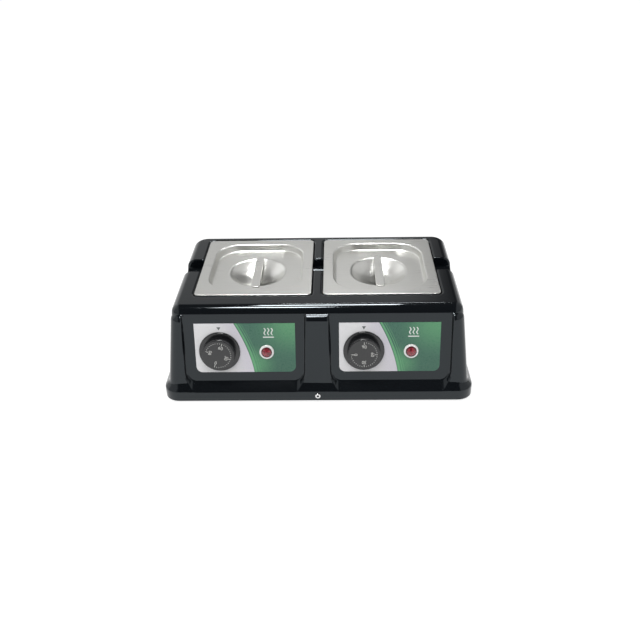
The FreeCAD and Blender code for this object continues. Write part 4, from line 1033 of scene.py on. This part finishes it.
class WARMER_OT_inside(bpy.types.Operator):
    """Dress what is closed inside: heaters, insulation, thermostats, sensing tubes and wiring blocks"""

    bl_idname = "warmer.inside"
    bl_label = "Inside"

    def execute(self, context):
        silicone = finish_once("heater_silicone", soft_rubber, colours().silicone)
        fibre = finish_once("matted_fibre", matted_fibre, colours().fibre)
        phenolic = finish_once("phenolic", moulded, colours().phenolic, 0.44, 800.0)
        copper = finish_once("drawn_copper", drawn_metal, colours().copper)
        for side in SIDES:
            dressed(side + "_heater_mat", silicone)
            dressed(side + "_insulation", fibre)
            dressed(side + "_thermostat", phenolic)
            dressed(side + "_capillary", copper, ROUND_CREASE)
            dressed(side + "_bulb_clip", plate())
        dressed("thermostat_screws", plate())
        dressed("terminal_block", nylon())
        dressed("earth_stud", brass())
        dressed("earth_nut", brass())
        return {"FINISHED"}


class WARMER_OT_recesses(bpy.types.Operator):
    """Mark the cross recesses in the heads of the visible screws with dark crosses of painted shade"""

    bl_idname = "warmer.recesses"
    bl_label = "Screw recesses"

    def execute(self, context):
        size = sizes()
        # Each cross is painted shade that stands for the recess's hollow
        crosses = cross_shape(recess_dark())
        inlet_mount = next(mount for mount in frame["record"]["mounts"] if mount["name"] == "mains_inlet")
        aims = {
            "well_screws": Vector((0.0, 0.0, 1.0)),
            "foot_screws": Vector((0.0, 0.0, -1.0)),
            "inlet_screws": Vector(inlet_mount["axis"]).normalized(),
        }
        values = {"Length": size.slot_length, "Width": size.slot_width, "Height": size.slot_height}
        for node, aim in aims.items():
            mesh = point_mesh(node + "_points", head_places(node, aim), aim)
            piece = crosses.run(node + "_recesses", mesh, values)
            on_body(piece, frame["nodes"][node]["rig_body"])
        return {"FINISHED"}


def camera_matrix(stage):
    """The camera's place and its way of looking: down by pitch, right by yaw, leaning by roll."""
    pitch, yaw, roll = stage.camera_pitch, stage.camera_yaw, stage.camera_roll
    ahead = Vector((math.sin(yaw) * math.cos(pitch), math.cos(yaw) * math.cos(pitch), -math.sin(pitch)))
    right = Vector((math.cos(yaw), -math.sin(yaw), 0.0))
    down = ahead.cross(right)
    across = math.cos(roll) * right + math.sin(roll) * down
    along = math.cos(roll) * down - math.sin(roll) * right
    turn = Matrix((across, -along, -ahead)).transposed().to_4x4()
    return Matrix.Translation(stage.camera_place) @ turn


SENSOR_WIDTH = 36.0
FLOOR_REACH = 12.0
FLOOR_GAP = 0.0002
FLOOR_GLOW = 1.50
FLOOR_GLOW_SHARE = 0.55
KEY_PLACE = (-0.2, -1.0, 1.9)
KEY_TARGET = (0.0, 0.0, 0.05)
KEY_SIZE = (1.8, 1.4)
STRIP_TARGET = (0.0, -0.1, 0.13)
# Strip lights over the object: name, place, width and depth, in metres.
STRIPS = (
    ("back_strip", (0.12, 1.05, 1.45), 0.60, 0.05),
    ("middle_strip", (0.00, 0.29, 1.50), 0.46, 0.24),
    ("front_strip", (-0.17, -0.40, 1.45), 0.36, 0.22),
)
# Soft edges of the studio's walls in reflections, by the x, y or z of the way that a ray looks.
BACK_FRONT_Y = (-0.10, 0.12)
BACK_RIGHT_X = (0.18, 0.07)
BACK_TOP_Z = (0.76, 0.62)
SIDE_INNER_X = (0.34, 0.52)
SIDE_FOOT_Z = (-0.04, 0.10)


def area_light(name, power, place, target, width, depth):
    light = bpy.data.lights.new(name, "AREA")
    light.shape = "RECTANGLE"
    light.size = width
    light.size_y = depth
    light.energy = power
    lamp = new_object(name, light)
    lamp.location = place
    lamp.rotation_euler = (Vector(target) - Vector(place)).to_track_quat("-Z", "Y").to_euler()
    return lamp


def seen_rays(nodes):
    """Two switches: 1 for rays from the camera, and 1 for those or rays through gloss or glass."""
    path = nodes.tree.nodes.new("ShaderNodeLightPath")
    names = ("Is Camera Ray", "Is Glossy Ray", "Is Transmission Ray")
    camera, gloss, glass = (Value(nodes, path.outputs[name]) for name in names)
    return camera, nodes.sum("MAXIMUM", nodes.sum("MAXIMUM", camera, gloss), glass)


def studio_world(stage):
    """Even fill light; in reflections, pale walls at the back and sides, a dark ceiling and a dark front."""
    world = bpy.data.worlds.new("studio")
    world.use_nodes = True
    nodes = Nodes(world.node_tree)
    nodes.tree.nodes.clear()
    camera, seen = seen_rays(nodes)
    way = nodes.add("ShaderNodeTexCoord", None, None, "Generated")
    x, y, z = nodes.axes(way)
    behind = nodes.ease(y, *BACK_FRONT_Y) * nodes.ease(x, *BACK_RIGHT_X) * nodes.ease(z, *BACK_TOP_Z)
    beside = nodes.ease(abs(x), *SIDE_INNER_X) * nodes.ease(z, *SIDE_FOOT_Z)
    wall = behind * stage.wall + beside * stage.side_wall + stage.ceiling
    level = camera + (1.0 - camera) * (seen * wall + (1.0 - seen) * stage.fill)
    shader = nodes.add("ShaderNodeBackground", None, {"Color": (1.0, 1.0, 1.0, 1.0), "Strength": level})
    nodes.add("ShaderNodeOutputWorld", None, {"Surface": shader})
    return world


def pale_floor(stage):
    """Pale floor that is white to the camera and in reflections, with the object's shadow kept."""
    material = bpy.data.materials.new("pale_floor")
    material.use_nodes = True
    nodes = Nodes(material.node_tree)
    nodes.tree.nodes.clear()
    _, seen = seen_rays(nodes)
    matt = nodes.add("ShaderNodeBsdfDiffuse", None, {"Color": (*stage.floor, 1.0)})
    white = nodes.add("ShaderNodeEmission", None, {"Strength": FLOOR_GLOW})
    mixed = nodes.add("ShaderNodeMixShader", None, {0: seen * FLOOR_GLOW_SHARE, 1: matt, 2: white})
    nodes.add("ShaderNodeOutputMaterial", None, {"Surface": mixed})
    return material


class WARMER_OT_stage(bpy.types.Operator):
    """Set the floor, the studio lights and the camera"""

    bl_idname = "warmer.stage"
    bl_label = "Studio"

    def execute(self, context):
        scene = context.scene
        stage = scene.warmer_stage
        mesh = bpy.data.meshes.new("floor")
        ways = ((-1, -1), (1, -1), (1, 1), (-1, 1))
        corners = [(x * FLOOR_REACH, y * FLOOR_REACH, 0.0) for x, y in ways]
        mesh.from_pydata(corners, [], [(0, 1, 2, 3)])
        mesh.materials.append(pale_floor(stage))
        floor = new_object("floor", mesh)
        floor.location.z = CAD_BOX[0].z - FLOOR_GAP
        scene.world = studio_world(stage)
        key = area_light("key_light", stage.key_power, KEY_PLACE, KEY_TARGET, *KEY_SIZE)
        key.visible_glossy = False
        for name, place, width, depth in STRIPS:
            power = stage.strip_glow * math.pi * width * depth
            strip = area_light(name, power, place, STRIP_TARGET, width, depth)
            strip.visible_diffuse = False
        camera = bpy.data.cameras.new("camera")
        camera.sensor_fit = "HORIZONTAL"
        camera.sensor_width = SENSOR_WIDTH
        camera.lens = stage.camera_lens
        eye = new_object("camera", camera)
        eye.matrix_world = camera_matrix(stage)
        scene.camera = eye
        scene.view_settings.view_transform = "Standard"
        return {"FINISHED"}


OPERATORS = (
    WARMER_OT_casing,
    WARMER_OT_lids,
    WARMER_OT_pans,
    WARMER_OT_dials,
    WARMER_OT_labels,
    WARMER_OT_lamps,
    WARMER_OT_base,
    WARMER_OT_inlet,
    WARMER_OT_inside,
    WARMER_OT_recesses,
    WARMER_OT_stage,
)


class WARMER_PT_panel(bpy.types.Panel):
    """The warmer's pieces, sizes and colours"""

    bl_idname = "WARMER_PT_panel"
    bl_label = "Wax warmer"
    bl_space_type = "VIEW_3D"
    bl_region_type = "UI"
    bl_category = "Warmer"

    def draw(self, context):
        for operator in OPERATORS:
            self.layout.operator(operator.bl_idname)
        for group in (context.scene.warmer_sizes, context.scene.warmer_colours, context.scene.warmer_stage):
            box = self.layout.box()
            for name in group.__annotations__:
                box.prop(group, name)


CLASSES = (WarmerColours, WarmerSizes, WarmerStage, *OPERATORS, WARMER_PT_panel)


def register():
    for cls in CLASSES:
        bpy.utils.register_class(cls)
    bpy.types.Scene.warmer_colours = PointerProperty(type=WarmerColours)
    bpy.types.Scene.warmer_sizes = PointerProperty(type=WarmerSizes)
    bpy.types.Scene.warmer_stage = PointerProperty(type=WarmerStage)


def unregister():
    del bpy.types.Scene.warmer_stage
    del bpy.types.Scene.warmer_sizes
    del bpy.types.Scene.warmer_colours
    for cls in reversed(CLASSES):
        bpy.utils.unregister_class(cls)


def main():
    register()
    bpy.ops.warmer.casing()
    bpy.ops.warmer.lids()
    bpy.ops.warmer.pans()
    bpy.ops.warmer.dials()
    bpy.ops.warmer.labels()
    bpy.ops.warmer.lamps()
    bpy.ops.warmer.base()
    bpy.ops.warmer.inlet()
    bpy.ops.warmer.inside()
    bpy.ops.warmer.recesses()
    bpy.ops.warmer.stage()


if __name__ == "__main__":
    main()
